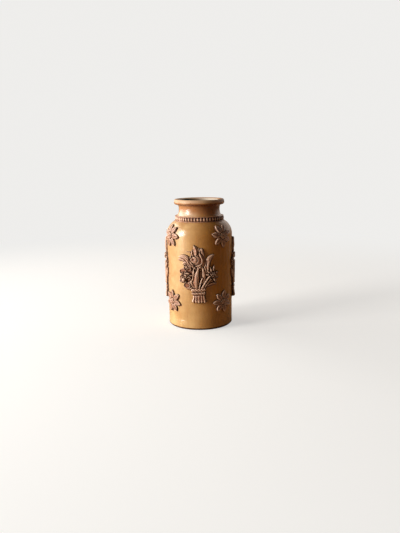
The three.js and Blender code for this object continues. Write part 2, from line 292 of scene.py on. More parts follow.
@dataclass(frozen=True)
class WallPath:
    """Outer wall that the sprigs are laid on: a slightly tapered drum under a round shoulder.

    Attributes:
        sizes: Sizes of the jar.
        shoulder_round: Radius of the shoulder's arc.
        foot_taper: How much smaller the radius is at the foot.
        foot_bevel: Height of the bevel under the wall.
    """

    sizes: JarSizes
    shoulder_round: float = 19.5
    foot_taper: float = 0.4
    foot_bevel: float = 1.4

    @property
    def shoulder_sweep(self) -> float:
        """Angle through which the shoulder bends, in radians."""
        return math.acos(1 - (self.sizes.wall_radius - self.sizes.ledge_radius) / self.shoulder_round)

    @property
    def shoulder_start(self) -> float:
        """Height at which the shoulder begins to bend."""
        return self.sizes.ledge_height - self.shoulder_round * math.sin(self.shoulder_sweep)

    @property
    def foot_radius(self) -> float:
        """Radius of the wall at the foot."""
        return self.sizes.wall_radius - self.foot_taper

    def climb_to(self, height: float) -> float:
        """Way along the wall from the shoulder's start to a height.

        Args:
            height: Height on the wall.

        Returns:
            The way, which is negative under the shoulder.
        """
        above = height - self.shoulder_start
        return self.shoulder_round * math.asin(above / self.shoulder_round) if above > 0 else above

    def lay(self, azimuth: float, across: Array, climb: Array, stand: Array) -> Array:
        """Lays flat points on the wall.

        The climb is measured along the wall, the distance across is measured round it, and the stand is
        square to it: bend = climb / round, radius = wall - round (1 - cos bend), reach = radius +
        stand cos bend, height = start + round sin bend + stand sin bend. Round is the shoulder's radius.

        Args:
            azimuth: Azimuth of the sprig's middle.
            across: Distances to the right.
            climb: Ways up the wall from the shoulder's start.
            stand: Distances out of the wall.

        Returns:
            Places on the jar, one row each.
        """
        taper = self.foot_taper / (self.shoulder_start - self.foot_bevel)
        bend = np.maximum(climb, 0) / self.shoulder_round
        straight = np.minimum(climb, 0)
        radius = self.sizes.wall_radius + straight * taper - self.shoulder_round * (1 - np.cos(bend))
        height = self.shoulder_start + straight + self.shoulder_round * np.sin(bend)
        reach = radius + stand * np.cos(bend)
        angle = math.radians(azimuth) + across / radius
        return round_axis(reach, angle, height + stand * np.sin(bend))


# Finishes


@dataclass
class Graph:
    """Node tree that is put together from left to right.

    Attributes:
        tree: The node tree of a material, a group or the world.
    """

    tree: bpy.types.NodeTree
    _made: int = 0

    def add(self, kind: str, inputs: dict[str | int, object] | None = None, **settings: object) -> Node:
        """Adds a node, sets its options and joins or sets its inputs.

        Args:
            kind: Blender's name of the node's type, without its ShaderNode prefix.
            inputs: Sockets or values by the input's name or number.
            settings: Options of the node.

        Returns:
            The node.
        """
        column_width = 190
        node = self.tree.nodes.new(kind if kind.startswith("Node") else f"ShaderNode{kind}")
        node.location = (column_width * self._made, 0)
        self._made += 1
        for option, value in settings.items():
            setattr(node, option, value)
        for key, value in (inputs or {}).items():
            if isinstance(value, Socket):
                self.join(value, node.inputs[key])
            else:
                node.inputs[key].default_value = value
        return node

    def join(self, output: Socket, entry: Socket) -> None:
        """Joins an output to an input."""
        self.tree.links.new(output, entry)

    def attribute(self, name: str) -> Socket:
        """Reads a value that the mesh holds for each vertex."""
        return self.add("Attribute", attribute_name=name).outputs["Fac"]

    def math(self, operation: str, first: object, second: object = 0.0, clamp: bool = False) -> Socket:
        """Adds a Math node.

        Args:
            operation: Its operation.
            first: First socket or value.
            second: Second socket or value.
            clamp: Whether the result stays between 0 and 1.

        Returns:
            The node's output.
        """
        node = self.add("Math", {0: first, 1: second}, operation=operation, use_clamp=clamp)
        return node.outputs[0]

    def times(self, *values: object) -> Socket:
        """Product of sockets and numbers, from left to right."""
        return reduce(partial(self.math, "MULTIPLY"), values)

    def largest(self, *values: object) -> Socket:
        """Largest of sockets and numbers."""
        return reduce(partial(self.math, "MAXIMUM"), values)

    def blend(self, share: object, first: object, second: object) -> Socket:
        """Mixes two colours.

        Args:
            share: Share of the second colour.
            first: First colour or socket.
            second: Second colour or socket.

        Returns:
            The mixed colour.
        """
        def whole(value: object) -> object:
            """A colour with its alpha, or the socket as it is."""
            return value if isinstance(value, Socket) else (*value, 1.0)

        node = self.add("Mix", {0: share, 6: whole(first), 7: whole(second)}, data_type="RGBA")
        return node.outputs[2]

    def layers(self, colour: object, *over: tuple[object, object]) -> Socket:
        """Lays colours over one another, each given as its share and the colour."""
        return reduce(lambda under, layer: self.blend(layer[0], under, layer[1]), over, colour)

    def ramp(
        self, value: object, low: float, high: float, out_low: float = 0.0, out_high: float = 1.0,
    ) -> Socket:
        """Maps a range smoothly and clamps it.

        Args:
            value: Socket to map.
            low: Value that gives out_low.
            high: Value that gives out_high.
            out_low: Result at the low end.
            out_high: Result at the high end.

        Returns:
            The mapped value.
        """
        inputs = {"Value": value, "From Min": low, "From Max": high, "To Min": out_low, "To Max": out_high}
        return self.add("MapRange", inputs, interpolation_type="SMOOTHSTEP").outputs["Result"]

    def noise(self, place: object, size: float, detail: float = 2.0, roughness: float = 0.5) -> Socket:
        """Adds smooth noise.

        Args:
            place: Vector to read.
            size: Size of its features, in millimetres.
            detail: Number of finer layers.
            roughness: Strength of the finer layers.

        Returns:
            The noise, about 0.5 on average.
        """
        inputs = {"Vector": place, "Scale": 1 / (size * MM), "Detail": detail, "Roughness": roughness}
        return self.add("TexNoise", inputs).outputs[0]


def shader_group(
    name: str,
    inputs: dict[str, float],
    outputs: Sequence[str],
    build: Callable[[Graph, Node, Node], None],
) -> bpy.types.NodeTree:
    """Makes a node group once, with a Place vector and number inputs, and number outputs.

    Args:
        name: Name of the group.
        inputs: Number inputs with their usual values.
        outputs: Names of the number outputs.
        build: Function that fills the group between its input and output nodes.

    Returns:
        The group.
    """
    if name in bpy.data.node_groups:
        return bpy.data.node_groups[name]
    tree = bpy.data.node_groups.new(name, "ShaderNodeTree")
    tree.interface.new_socket("Place", in_out="INPUT", socket_type="NodeSocketVector")
    for label, value in inputs.items():
        socket = tree.interface.new_socket(label, in_out="INPUT", socket_type="NodeSocketFloat")
        socket.default_value = value
    for label in outputs:
        tree.interface.new_socket(label, in_out="OUTPUT", socket_type="NodeSocketFloat")
    graph = Graph(tree)
    entry = graph.add("NodeGroupInput")
    build(graph, entry, graph.add("NodeGroupOutput"))
    return tree


def orange_peel(graph: Graph, entry: Node, result: Node) -> None:
    """Pebbled height of salt glaze: fine dimples over a slow swell of the thrown wall.

    Args:
        graph: The group's tree.
        entry: Its input node, with Place, Dimples and Swell.
        result: Its output node, with Height.
    """
    dimple_size, grain_size, swell_size = 1.5, 0.55, 9.0
    place = entry.outputs["Place"]
    dimples = graph.ramp(graph.noise(place, dimple_size, detail=1.5), low=0.35, high=0.65)
    grain = graph.noise(place, grain_size, detail=1.0)
    swell = graph.noise(place, swell_size, detail=1.0)
    fine = graph.times(graph.math("ADD", dimples, grain), entry.outputs["Dimples"])
    slow = graph.times(swell, entry.outputs["Swell"])
    graph.join(graph.math("ADD", fine, slow), result.inputs["Height"])


def iron_specks(graph: Graph, entry: Node, result: Node) -> None:
    """Sparse dark specks of iron: the middles of some Voronoi cells, chosen by the cell's colour.

    Args:
        graph: The group's tree.
        entry: Its input node, with Place, Spacing in millimetres and Share of the cells with a speck.
        result: Its output node, with Mask.
    """
    smallest, varying = 0.06, 0.1
    scale = graph.math("DIVIDE", 1 / MM, entry.outputs["Spacing"])
    cells = graph.add("TexVoronoi", {"Vector": entry.outputs["Place"], "Scale": scale})
    chance = graph.add("SeparateColor", {0: cells.outputs["Color"]})
    chosen = graph.math("LESS_THAN", chance.outputs[0], entry.outputs["Share"])
    reach = graph.math("ADD", graph.times(chance.outputs[1], varying), smallest)
    away = graph.math("DIVIDE", cells.outputs["Distance"], reach)
    spot = graph.ramp(graph.math("SUBTRACT", 1.0, away, clamp=True), low=0.0, high=0.6)
    graph.join(graph.times(chosen, spot), result.inputs["Mask"])


def kiln_mottle(graph: Graph, entry: Node, result: Node) -> None:
    """Uneven firing: broad clouds, and streaks that run down the wall.

    Args:
        graph: The group's tree.
        entry: Its input node, with Place.
        result: Its output node, with Clouds and Streaks.
    """
    cloud_size, streak_size = 26.0, 4.5
    drawn_out = (1.0, 1.0, 0.16)
    place = entry.outputs["Place"]
    clouds = graph.noise(place, cloud_size, detail=3.0, roughness=0.55)
    squeezed = graph.add("VectorMath", {0: place, 1: drawn_out}, operation="MULTIPLY")
    streaks = graph.noise(squeezed.outputs[0], streak_size, detail=3.0, roughness=0.6)
    graph.join(graph.ramp(clouds, low=0.3, high=0.7), result.inputs["Clouds"])
    graph.join(graph.ramp(streaks, low=0.35, high=0.7), result.inputs["Streaks"])


class Glazes:
    """Builds the shared groups and places them in a material."""

    def __init__(self) -> None:
        """Makes the groups."""
        self.peel = shader_group("orange_peel", {"Dimples": 1.0, "Swell": 1.0}, ["Height"], orange_peel)
        self.specks = shader_group("iron_specks", {"Spacing": 6.0, "Share": 0.2}, ["Mask"], iron_specks)
        self.mottle = shader_group("kiln_mottle", {}, ["Clouds", "Streaks"], kiln_mottle)

    @staticmethod
    def place(graph: Graph, group: bpy.types.NodeTree, spot: Socket, values: dict[str, object]) -> Node:
        """Adds a group to a material.

        Args:
            graph: The material's tree.
            group: The group.
            spot: Vector for its Place.
            values: Its other inputs.

        Returns:
            The group's node.
        """
        node = graph.add("Group", node_tree=group)
        graph.join(spot, node.inputs["Place"])
        for label, value in values.items():
            node.inputs[label].default_value = value
        return node

    @staticmethod
    def begin(name: str) -> tuple[bpy.types.Material, Graph, Socket]:
        """Starts an empty material.

        Args:
            name: Name of the material.

        Returns:
            The material, its tree and the object coordinates.
        """
        material = bpy.data.materials.new(name)
        material.use_nodes = True
        material.node_tree.nodes.clear()
        graph = Graph(material.node_tree)
        return material, graph, graph.add("TexCoord").outputs["Object"]

    @staticmethod
    def end(graph: Graph, shader: Node) -> None:
        """Joins the shader to the material's output."""
        graph.join(shader.outputs[0], graph.add("OutputMaterial").inputs["Surface"])


@dataclass(frozen=True)
class Fade:
    """Share that changes smoothly between two places.

    Attributes:
        start: Place where it begins to change, in millimetres.
        end: Place where it has changed.
        first: Share at the start.
        last: Share at the end.
    """

    start: float
    end: float
    first: float = 0.0
    last: float = 1.0

    def along(self, graph: Graph, way: Socket) -> Socket:
        """Share by a coordinate that is in metres."""
        return graph.ramp(way, self.start * MM, self.end * MM, self.first, self.last)


@dataclass(frozen=True)
class Patch:
    """Part of the glaze between two heights, whose strength changes across the jar.

    Attributes:
        lower: Fade at its lower edge.
        upper: Fade at its upper edge, or nothing where it runs to the top.
        across: Its strength by the distance towards +X.
    """

    lower: Fade
    upper: Fade | None
    across: Fade

    def mask(self, graph: Graph, spot: Node) -> Socket:
        """Strength of the patch.

        Args:
            graph: The material's tree.
            spot: Node that gives the place's X and Z.

        Returns:
            The mask.
        """
        mask = self.lower.along(graph, spot.outputs["Z"])
        if self.upper:
            mask = graph.times(mask, self.upper.along(graph, spot.outputs["Z"]))
        return graph.times(mask, self.across.along(graph, spot.outputs["X"]))


@dataclass(frozen=True)
class BodyGlaze:
    """Honey-tan salt glaze of the thrown body, in colours laid over one another by their shares.

    Attributes:
        honey: Colour of the wall at -X, the side towards the lamps.
        amber: Its darker colour at +X: partly kiln flashing, partly painted shade away from the lamps.
        toast: Darker colour of the clouds and streaks.
        gold: Colour towards the foot.
        russet: Redder colour of the neck and the rim.
        cream: Paler colour where the glaze is thinner, and of the painted highlight on the neck's foot.
        lip_highlight: Palest colour, a painted highlight on the inner edge of the lip at +X, where the lamps
            light it.
        painted_rim_shade: Painted shade, dark red-brown, under the rim and on the right of the neck.
        painted_foot_shadow: Painted contact shadow along the foot's lowest edge.
        olive: Nearly black colour inside: partly thick dark glaze, partly painted shade in the hollow.
        clay: Bare clay under the foot.
        iron: Colour of the specks.
        flash_and_shade: Distances towards +X over which honey turns to amber, as kiln flashing and painted
            shade.
        foot_gold: Heights over which the wall turns to gold, downwards.
        neck_red: Heights over which the neck reddens.
        foot_edge: Heights over which the painted contact shadow at the foot sets in, downwards.
        rim: Heights over which the rim's dry glaze sets in.
        lip: Distances towards +X over which the lip's inner edge takes the painted highlight.
        painted_rim_shades: Painted shade: a line under the rim, the rim's right end, and the right of the
            neck.
        thin_and_lit: Cream of the rim's thinner glaze, less at +X as painted shade; and a painted highlight
            on the neck's foot at -X.
        gold_share: Share of gold at -X and at +X, stronger on the lit side as painted light.
        cloud_share: Share of toast in the clouds.
        streak_share: Share of toast in the streaks.
        inner_share: Share of toast in the clouds inside.
        russet_share: Share of russet.
        lip_highlight_share: Share of the painted highlight on the lip.
        speck_share: Share of iron in the specks.
        coat: Weight of the clear coat at -X and at +X.
    """

    honey: Colour = (0.72, 0.49, 0.245)
    amber: Colour = (0.51, 0.20, 0.02)
    toast: Colour = (0.40, 0.165, 0.035)
    gold: Colour = (0.74, 0.48, 0.20)
    russet: Colour = (0.42, 0.175, 0.07)
    cream: Colour = (0.66, 0.47, 0.31)
    lip_highlight: Colour = (0.84, 0.72, 0.58)
    painted_rim_shade: Colour = (0.15, 0.045, 0.015)
    painted_foot_shadow: Colour = (0.09, 0.03, 0.01)
    olive: Colour = (0.035, 0.038, 0.024)
    clay: Colour = (0.42, 0.30, 0.19)
    iron: Colour = (0.07, 0.03, 0.012)
    # Kiln flashing and painted shade: the wall darkens to amber towards +X, away from the lamps.
    flash_and_shade: Fade = Fade(-36.0, 26.0)
    foot_gold: Fade = Fade(62.0, 12.0)
    neck_red: Fade = Fade(120.0, 150.0)
    # Painted contact shadow at the foot.
    foot_edge: Fade = Fade(2.9, 1.9)
    rim: Fade = Fade(155.4, 157.4)
    lip: Fade = Fade(-8.0, 12.0)
    # Painted shade under the rim's overhang, deepest towards +X, away from the lamps.
    painted_rim_shades: tuple[Patch, ...] = (
        Patch(Fade(151.5, 153.2), Fade(156.4, 154.6), Fade(-28.0, 0.0, 0.55, 0.95)),
        Patch(Fade(151.5, 153.5), None, Fade(19.0, 31.0, 0.0, 0.6)),
        Patch(Fade(142.0, 152.0), Fade(156.0, 154.0), Fade(-18.0, 16.0, 0.0, 0.9)),
    )
    # Rim cream is thinner glaze, less towards +X as painted shade; cream on the neck's foot at -X is a
    # painted highlight.
    thin_and_lit: tuple[Patch, ...] = (
        Patch(Fade(155.4, 157.4), None, Fade(17.0, 30.0, 0.5, 0.12)),
        Patch(Fade(134.0, 137.5), Fade(148.0, 141.0), Fade(4.0, -14.0, 0.0, 0.7)),
    )
    gold_share: Point = (0.55, 0.2)
    cloud_share: float = 0.5
    streak_share: float = 0.32
    inner_share: float = 0.1
    russet_share: float = 0.8
    lip_highlight_share: float = 0.95
    speck_share: float = 0.8
    coat: Point = (0.6, 0.0)

    def material(self, glazes: Glazes) -> bpy.types.Material:
        """Builds the material.

        Args:
            glazes: The shared groups.

        Returns:
            The material.
        """
        made, graph, place = glazes.begin("body_glaze")
        spot = graph.add("SeparateXYZ", {0: place})
        width, height = spot.outputs["X"], spot.outputs["Z"]
        # Share of painted shade and kiln flashing, growing towards +X, away from the lamps.
        flashed_and_shaded = self.flash_and_shade.along(graph, width)
        rim = self.rim.along(graph, height)
        mottle = glazes.place(graph, glazes.mottle, place, {})
        specks = glazes.place(graph, glazes.specks, place, {"Spacing": 5.5, "Share": 0.16})
        peel = glazes.place(graph, glazes.peel, place, {"Dimples": 1.0, "Swell": 2.6})
        clouds, streaks = mottle.outputs["Clouds"], mottle.outputs["Streaks"]

        # More gold at -X, the lit side: painted light.
        gold_share = graph.ramp(flashed_and_shaded, 0.0, 1.0, *self.gold_share)
        gold = graph.times(self.foot_gold.along(graph, height), gold_share)
        red = graph.times(self.neck_red.along(graph, height), graph.ramp(clouds, low=-0.4, high=0.7))
        outside = graph.layers(
            self.honey,
            (flashed_and_shaded, self.amber),
            (gold, self.gold),
            (graph.times(clouds, self.cloud_share), self.toast),
            (graph.times(streaks, self.streak_share), self.toast),
            (graph.times(red, self.russet_share), self.russet),
            # Painted shade under the rim and on the right of the neck.
            (graph.largest(*(patch.mask(graph, spot) for patch in self.painted_rim_shades)), self.painted_rim_shade),
            # Cream: the rim's thinner glaze, and a painted highlight on the neck's foot.
            (graph.largest(*(patch.mask(graph, spot) for patch in self.thin_and_lit)), self.cream),
            # Painted contact shadow along the bottom of the wall.
            (self.foot_edge.along(graph, height), self.painted_foot_shadow),
            (graph.times(specks.outputs["Mask"], self.speck_share), self.iron),
        )
        inside, bare = graph.attribute(INSIDE), graph.attribute(BARE)
        # Painted highlight on the inner edge of the lip towards +X, the side that the lamps light.
        lip = graph.times(graph.ramp(inside, low=0.0, high=0.12), self.lip.along(graph, width))
        dark = graph.blend(graph.times(clouds, self.inner_share), self.olive, self.toast)
        colour = graph.layers(
            outside,
            (graph.times(lip, self.lip_highlight_share), self.lip_highlight),
            # Dark inside: dark glaze, and painted shade of the jar's hollow.
            (graph.ramp(inside, low=0.05, high=0.95), dark),
            (bare, self.clay),
        )

        rim_roughness, clay_roughness = 0.5, 0.8
        glossy = graph.ramp(streaks, 0.0, 1.0, 0.22, 0.32)
        dry = graph.largest(graph.times(rim, rim_roughness), graph.times(bare, clay_roughness))
        coat = graph.ramp(flashed_and_shaded, 0.0, 1.0, *self.coat)
        bump = graph.add("Bump", {"Strength": 0.55, "Distance": 0.06 * MM, "Height": peel.outputs["Height"]})
        shader = graph.add("BsdfPrincipled", {
            "Base Color": colour,
            "Roughness": graph.largest(glossy, dry),
            "IOR": 1.5,
            "Specular IOR Level": 0.34,
            "Coat Weight": graph.math("SUBTRACT", coat, graph.largest(bare, rim), clamp=True),
            "Coat Roughness": 0.21,
            "Normal": bump.outputs["Normal"],
        })
        glazes.end(graph, shader)
        return made


@dataclass(frozen=True)
class SprigGlaze:
    """Mauve-brown dipped clay of the sprigs and the collar, darker where the glaze pools and where shade is
    painted.

    Attributes:
        mauve: Colour of the open surface.
        umber: Its darker clouds.
        worn_and_lit: Pale colour of crests: thinner glaze there, and painted highlight.
        near_black: Nearly black colour of the recesses, of thick glaze and painted shade, and of the specks.
        cloud_share: Share of umber in the clouds.
        pool_share: Share of the dark colour in the recesses.
        speck_share: Share of the dark colour in the specks.
        patch_size: Size of the patches in which the crests turn pale, in millimetres.
    """

    mauve: Colour = (0.36, 0.15, 0.085)
    umber: Colour = (0.24, 0.075, 0.03)
    worn_and_lit: Colour = (0.78, 0.53, 0.37)
    near_black: Colour = (0.036, 0.008, 0.002)
    cloud_share: float = 0.6
    pool_share: float = 0.95
    speck_share: float = 0.6
    patch_size: float = 2.2

    def material(self, glazes: Glazes) -> bpy.types.Material:
        """Builds the material.

        Args:
            glazes: The shared groups.

        Returns:
            The material.
        """
        made, graph, place = glazes.begin("sprig_glaze")
        mottle = glazes.place(graph, glazes.mottle, place, {})
        specks = glazes.place(graph, glazes.specks, place, {"Spacing": 3.0, "Share": 0.12})
        peel = glazes.place(graph, glazes.peel, place, {"Dimples": 1.0, "Swell": 0.6})
        # Dark of the recesses and flanks: thick glaze, and painted shade.
        pool_and_shade = graph.attribute(POOL_AND_SHADE)
        patches = graph.ramp(graph.noise(place, self.patch_size), 0.25, 0.7, 0.45, 1.0)
        # Pale crests: thinner glaze, and painted highlight.
        worn_and_lit = graph.times(graph.attribute(CREST), patches)
        colour = graph.layers(
            self.mauve,
            (graph.times(mottle.outputs["Clouds"], self.cloud_share), self.umber),
            (worn_and_lit, self.worn_and_lit),
            # Near-black in the recesses: thick glaze and painted shade.
            (graph.times(pool_and_shade, self.pool_share), self.near_black),
            (graph.times(specks.outputs["Mask"], self.speck_share), self.near_black),
        )
        pool_roughness = 0.6
        glossy = graph.ramp(worn_and_lit, 0.0, 1.0, 0.34, 0.5)
        bump = graph.add("Bump", {"Strength": 0.5, "Distance": 0.05 * MM, "Height": peel.outputs["Height"]})
        shader = graph.add("BsdfPrincipled", {
            "Base Color": colour,
            "Roughness": graph.largest(glossy, graph.times(pool_and_shade, pool_roughness)),
            "IOR": 1.5,
            "Specular IOR Level": 0.22,
            "Coat Weight": graph.ramp(pool_and_shade, 0.0, 1.0, 0.3, 0.0),
            "Coat Roughness": 0.2,
            "Normal": bump.outputs["Normal"],
        })
        glazes.end(graph, shader)
        return made


# Thrown body


@dataclass(frozen=True)
class JarBody:
    """Thrown body with its foot ring, shoulder, neck, rolled rim and inside.

    Attributes:
        path: The outer wall.
        wall: Thickness of the wall.
        foot_ring: Width of the foot's flat ring.
        hollow: Depth of the hollow in the base.
        floor: Height of the inner floor.
        floor_fillet: Radius between the floor and the wall.
        neck_radius: Radius of the neck.
        neck_wall: Thickness of the neck.
        neck_fillet: Depth of the curve between the collar's seat and the neck.
        neck_rise: Height of that curve.
        cove_power: Power of the cove's arc under the rim, less than 1 for a tight corner there.
        rim_overhang: How far the rim stands past the neck.
        roll_below: Radius of the roll under the rim's band.
        band: Height of the rim's upright band.
        roll_above: Height of the roll over the band.
        roll_in: How far the upper roll comes in.
        land: Width of the rim's flat land.
        lip_depth: Depth of the lip's trumpet.
        turned_lines: Heights of the fine lines turned at the foot.
        turned_to: Height up to which the rows are close enough for those lines.
        line_depth: Depth of a turned line.
        line_width: Its half width.
        ring_height: Height of the throwing rings over the wall's mean.
        ring_pitch: Distance between two throwing rings.
        oval: How far the wall is out of round.
        glaze_and_shade_fade: Depth over which dark glaze and painted shade set in inside at the front, and
            how much that adds at +X.
        glaze_and_shade_least: Least depth over which it sets in.
        glaze_and_shade_start: Depth under the rim at which it begins.
        middle: Radius at which the base and the floor close to a point.
        columns: Points round the axis.
    """

    path: WallPath
    wall: float = 5.0
    foot_ring: float = 9.5
    hollow: float = 1.3
    floor: float = 7.0
    floor_fillet: float = 4.0
    neck_radius: float = 25.7
    neck_wall: float = 4.4
    neck_fillet: float = 3.0
    neck_rise: float = 7.4
    cove_power: float = 0.7
    rim_overhang: float = 5.9
    roll_below: float = 2.2
    band: float = 1.2
    roll_above: float = 3.2
    roll_in: float = 1.7
    land: float = 1.3
    lip_depth: float = 10.0
    turned_lines: tuple[float, ...] = (6.9, 9.2, 11.1)
    turned_to: float = 16.0
    line_depth: float = 0.11
    line_width: float = 0.4
    ring_height: float = 0.022
    ring_pitch: float = 6.5
    oval: float = 0.12
    glaze_and_shade_fade: Point = (4.0, 4.6)
    glaze_and_shade_least: float = 0.9
    glaze_and_shade_start: float = 0.6
    middle: float = 2.0
    columns: int = 240

    def outside(self) -> Array:
        """Profile from the foot's bevel over the shoulder and the neck to the rim's land.

        Returns:
            Points as radius and height.
        """
        path, sizes = self.path, self.path.sizes
        seat = self.neck_radius + self.neck_fillet
        fillet_top = sizes.collar_top + self.neck_rise
        rim = self.neck_radius + self.rim_overhang
        underside = sizes.height - self.roll_above - self.band - self.roll_below
        roll_start = rim - self.roll_below
        land_edge = rim - self.roll_in
        foot = (path.foot_radius, path.foot_bevel)
        top = (sizes.wall_radius, path.shoulder_start)
        share = (self.turned_to - foot[1]) / (top[1] - foot[1])
        turned_end = (foot[0] + share * (top[0] - foot[0]), self.turned_to)
        shoulder_middle = (sizes.wall_radius - path.shoulder_round, path.shoulder_start)
        roll_middle = (land_edge, sizes.height - self.roll_above)
        cove = (roll_start - self.neck_radius, underside - fillet_top)
        return run_on(
            line((foot[0] - path.foot_bevel, 0.0), foot, step=0.4),
            line(foot, turned_end, step=0.18),
            line(turned_end, top, step=1.0),
            arc(shoulder_middle, path.shoulder_round, 0, math.degrees(path.shoulder_sweep), steps=28),
            line((sizes.ledge_radius, sizes.ledge_height), (seat, sizes.ledge_height), step=0.9),
            line((seat, sizes.ledge_height), (seat, sizes.collar_top), step=1.6),
            arc((seat, fillet_top), (self.neck_fillet, self.neck_rise), 270, 180, steps=16),
            arc((roll_start, fillet_top), cove, 180, 90, steps=32, power=self.cove_power),
            arc((roll_start, underside + self.roll_below), self.roll_below, 270, 360, steps=10),
            arc(roll_middle, (self.roll_in, self.roll_above), 0, 90, steps=12),
        )

    def inside(self) -> Array:
        """Profile from the rim's land down the lip and the chamber to the floor.

        Returns:
            Points as radius and height.
        """
        path, sizes = self.path, self.path.sizes
        land_edge = self.neck_radius + self.rim_overhang - self.roll_in - self.land
        bore = self.neck_radius - self.neck_wall
        chamber = sizes.wall_radius - self.wall
        turn = path.shoulder_round - self.wall
        corner = path.foot_radius - self.wall - self.floor_fillet
        lip_foot = sizes.height - self.lip_depth
        wall_foot = (corner + self.floor_fillet, self.floor + self.floor_fillet)
        shoulder_sweep = math.degrees(path.shoulder_sweep)
        return run_on(
            arc((land_edge, lip_foot), (land_edge - bore, self.lip_depth), 90, 180, steps=22),
            line((bore, lip_foot), (bore, sizes.ledge_height), step=1.5),
            arc((chamber - turn, path.shoulder_start), turn, shoulder_sweep, 0, steps=12),
            line((chamber, path.shoulder_start), wall_foot, step=6.0),
            arc((corner, wall_foot[1]), self.floor_fillet, 0, -90, steps=8),
            line((corner, self.floor), (self.middle, self.floor), step=4.0),
        )

    def underside(self) -> Array:
        """Profile of the base, from near its middle out to the foot's ring.

        Returns:
            Points as radius and height.
        """
        ring_outer = self.path.foot_radius - self.path.foot_bevel
        ring_inner = ring_outer - self.foot_ring
        hollow_edge = (ring_inner - self.hollow, self.hollow)
        return run_on(
            line((self.middle, self.hollow), hollow_edge, step=4.0),
            line(hollow_edge, (ring_inner, 0.0), step=0.5),
            line((ring_inner, 0.0), (ring_outer, 0.0), step=1.6),
        )

    def thrown(self, height: Array, angle: Array) -> Array:
        """What throwing and turning add to the outer radius.

        The throwing rings are ring height times sin(2 pi height / pitch + azimuth), the out-of-round is
        oval times cos(2 azimuth + height / 60), and both fade in over 4 mm above the foot. Each turned line
        takes away its depth times a bell of the distance to it.

        Args:
            height: Heights, in a column.
            angle: Azimuths in radians, in a row.

        Returns:
            Additions to the radius.
        """
        fade_start, fade_length, oval_twist = 1.5, 4.0, 60.0
        faded = np.clip((height - fade_start) / fade_length, 0, 1)
        rings = self.ring_height * np.sin(2 * math.pi * height / self.ring_pitch + angle)
        oval = self.oval * np.cos(2 * angle + height / oval_twist)
        lines = sum(bell(height - level, self.line_width) for level in self.turned_lines)
        return faded * (rings + oval) - self.line_depth * lines

    def build(self) -> bpy.types.Object:
        """Turns the profile round the axis and closes it in the middle of the base and of the floor.

        The inside value climbs from 0 under the rim to 1 where the inside is dark, partly with dark glaze
        and partly with painted shade, which sets in sooner at -X, the shaded side. The bare value is 1 under
        the foot.

        Returns:
            The body's object.
        """
        under, outer, inner = self.underside(), self.outside(), self.inside()
        profile = np.vstack([under[:-1], outer, inner])
        rows, columns = len(profile), self.columns
        first_outer = len(under) - 1
        first_inner = first_outer + len(outer)
        radius, height = profile[:, :1], profile[:, 1:]
        angle = np.linspace(0, 2 * math.pi, columns, endpoint=False)[None, :]
        is_outer = np.zeros((rows, 1))
        is_outer[first_outer + 1:first_inner] = 1
        points = round_axis(radius + is_outer * self.thrown(height, angle), angle, height)
        points = np.vstack([points, [[0, 0, self.hollow], [0, 0, self.floor]]])

        first = np.arange(columns)
        after = np.roll(first, -1)
        last = (rows - 1) * columns
        base = np.column_stack([np.full(columns, rows * columns), after, first])
        floor = np.column_stack([last + first, last + after, np.full(columns, rows * columns + 1)])

        # Painted shade: the inside darkens sooner towards -X, the shaded side, and later towards +X.
        fade = np.maximum(self.glaze_and_shade_fade[0] + self.glaze_and_shade_fade[1] * np.sin(angle), self.glaze_and_shade_least)
        depth = self.path.sizes.height - height[first_inner:] - self.glaze_and_shade_start
        within = np.zeros((rows, columns))
        within[first_inner:] = np.clip(depth / fade, 0, 1)
        bare = (np.arange(rows) < first_outer).astype(float)
        values = {
            INSIDE: np.append(within.ravel(), [0, 1]),
            BARE: np.append(np.repeat(bare, columns), [1, 0]),
        }
        faces = [ring_faces(rows, columns, closed_section=False), base, floor]
        return mesh_object("jar_body_thrown", points, faces, values)


# Beaded collar


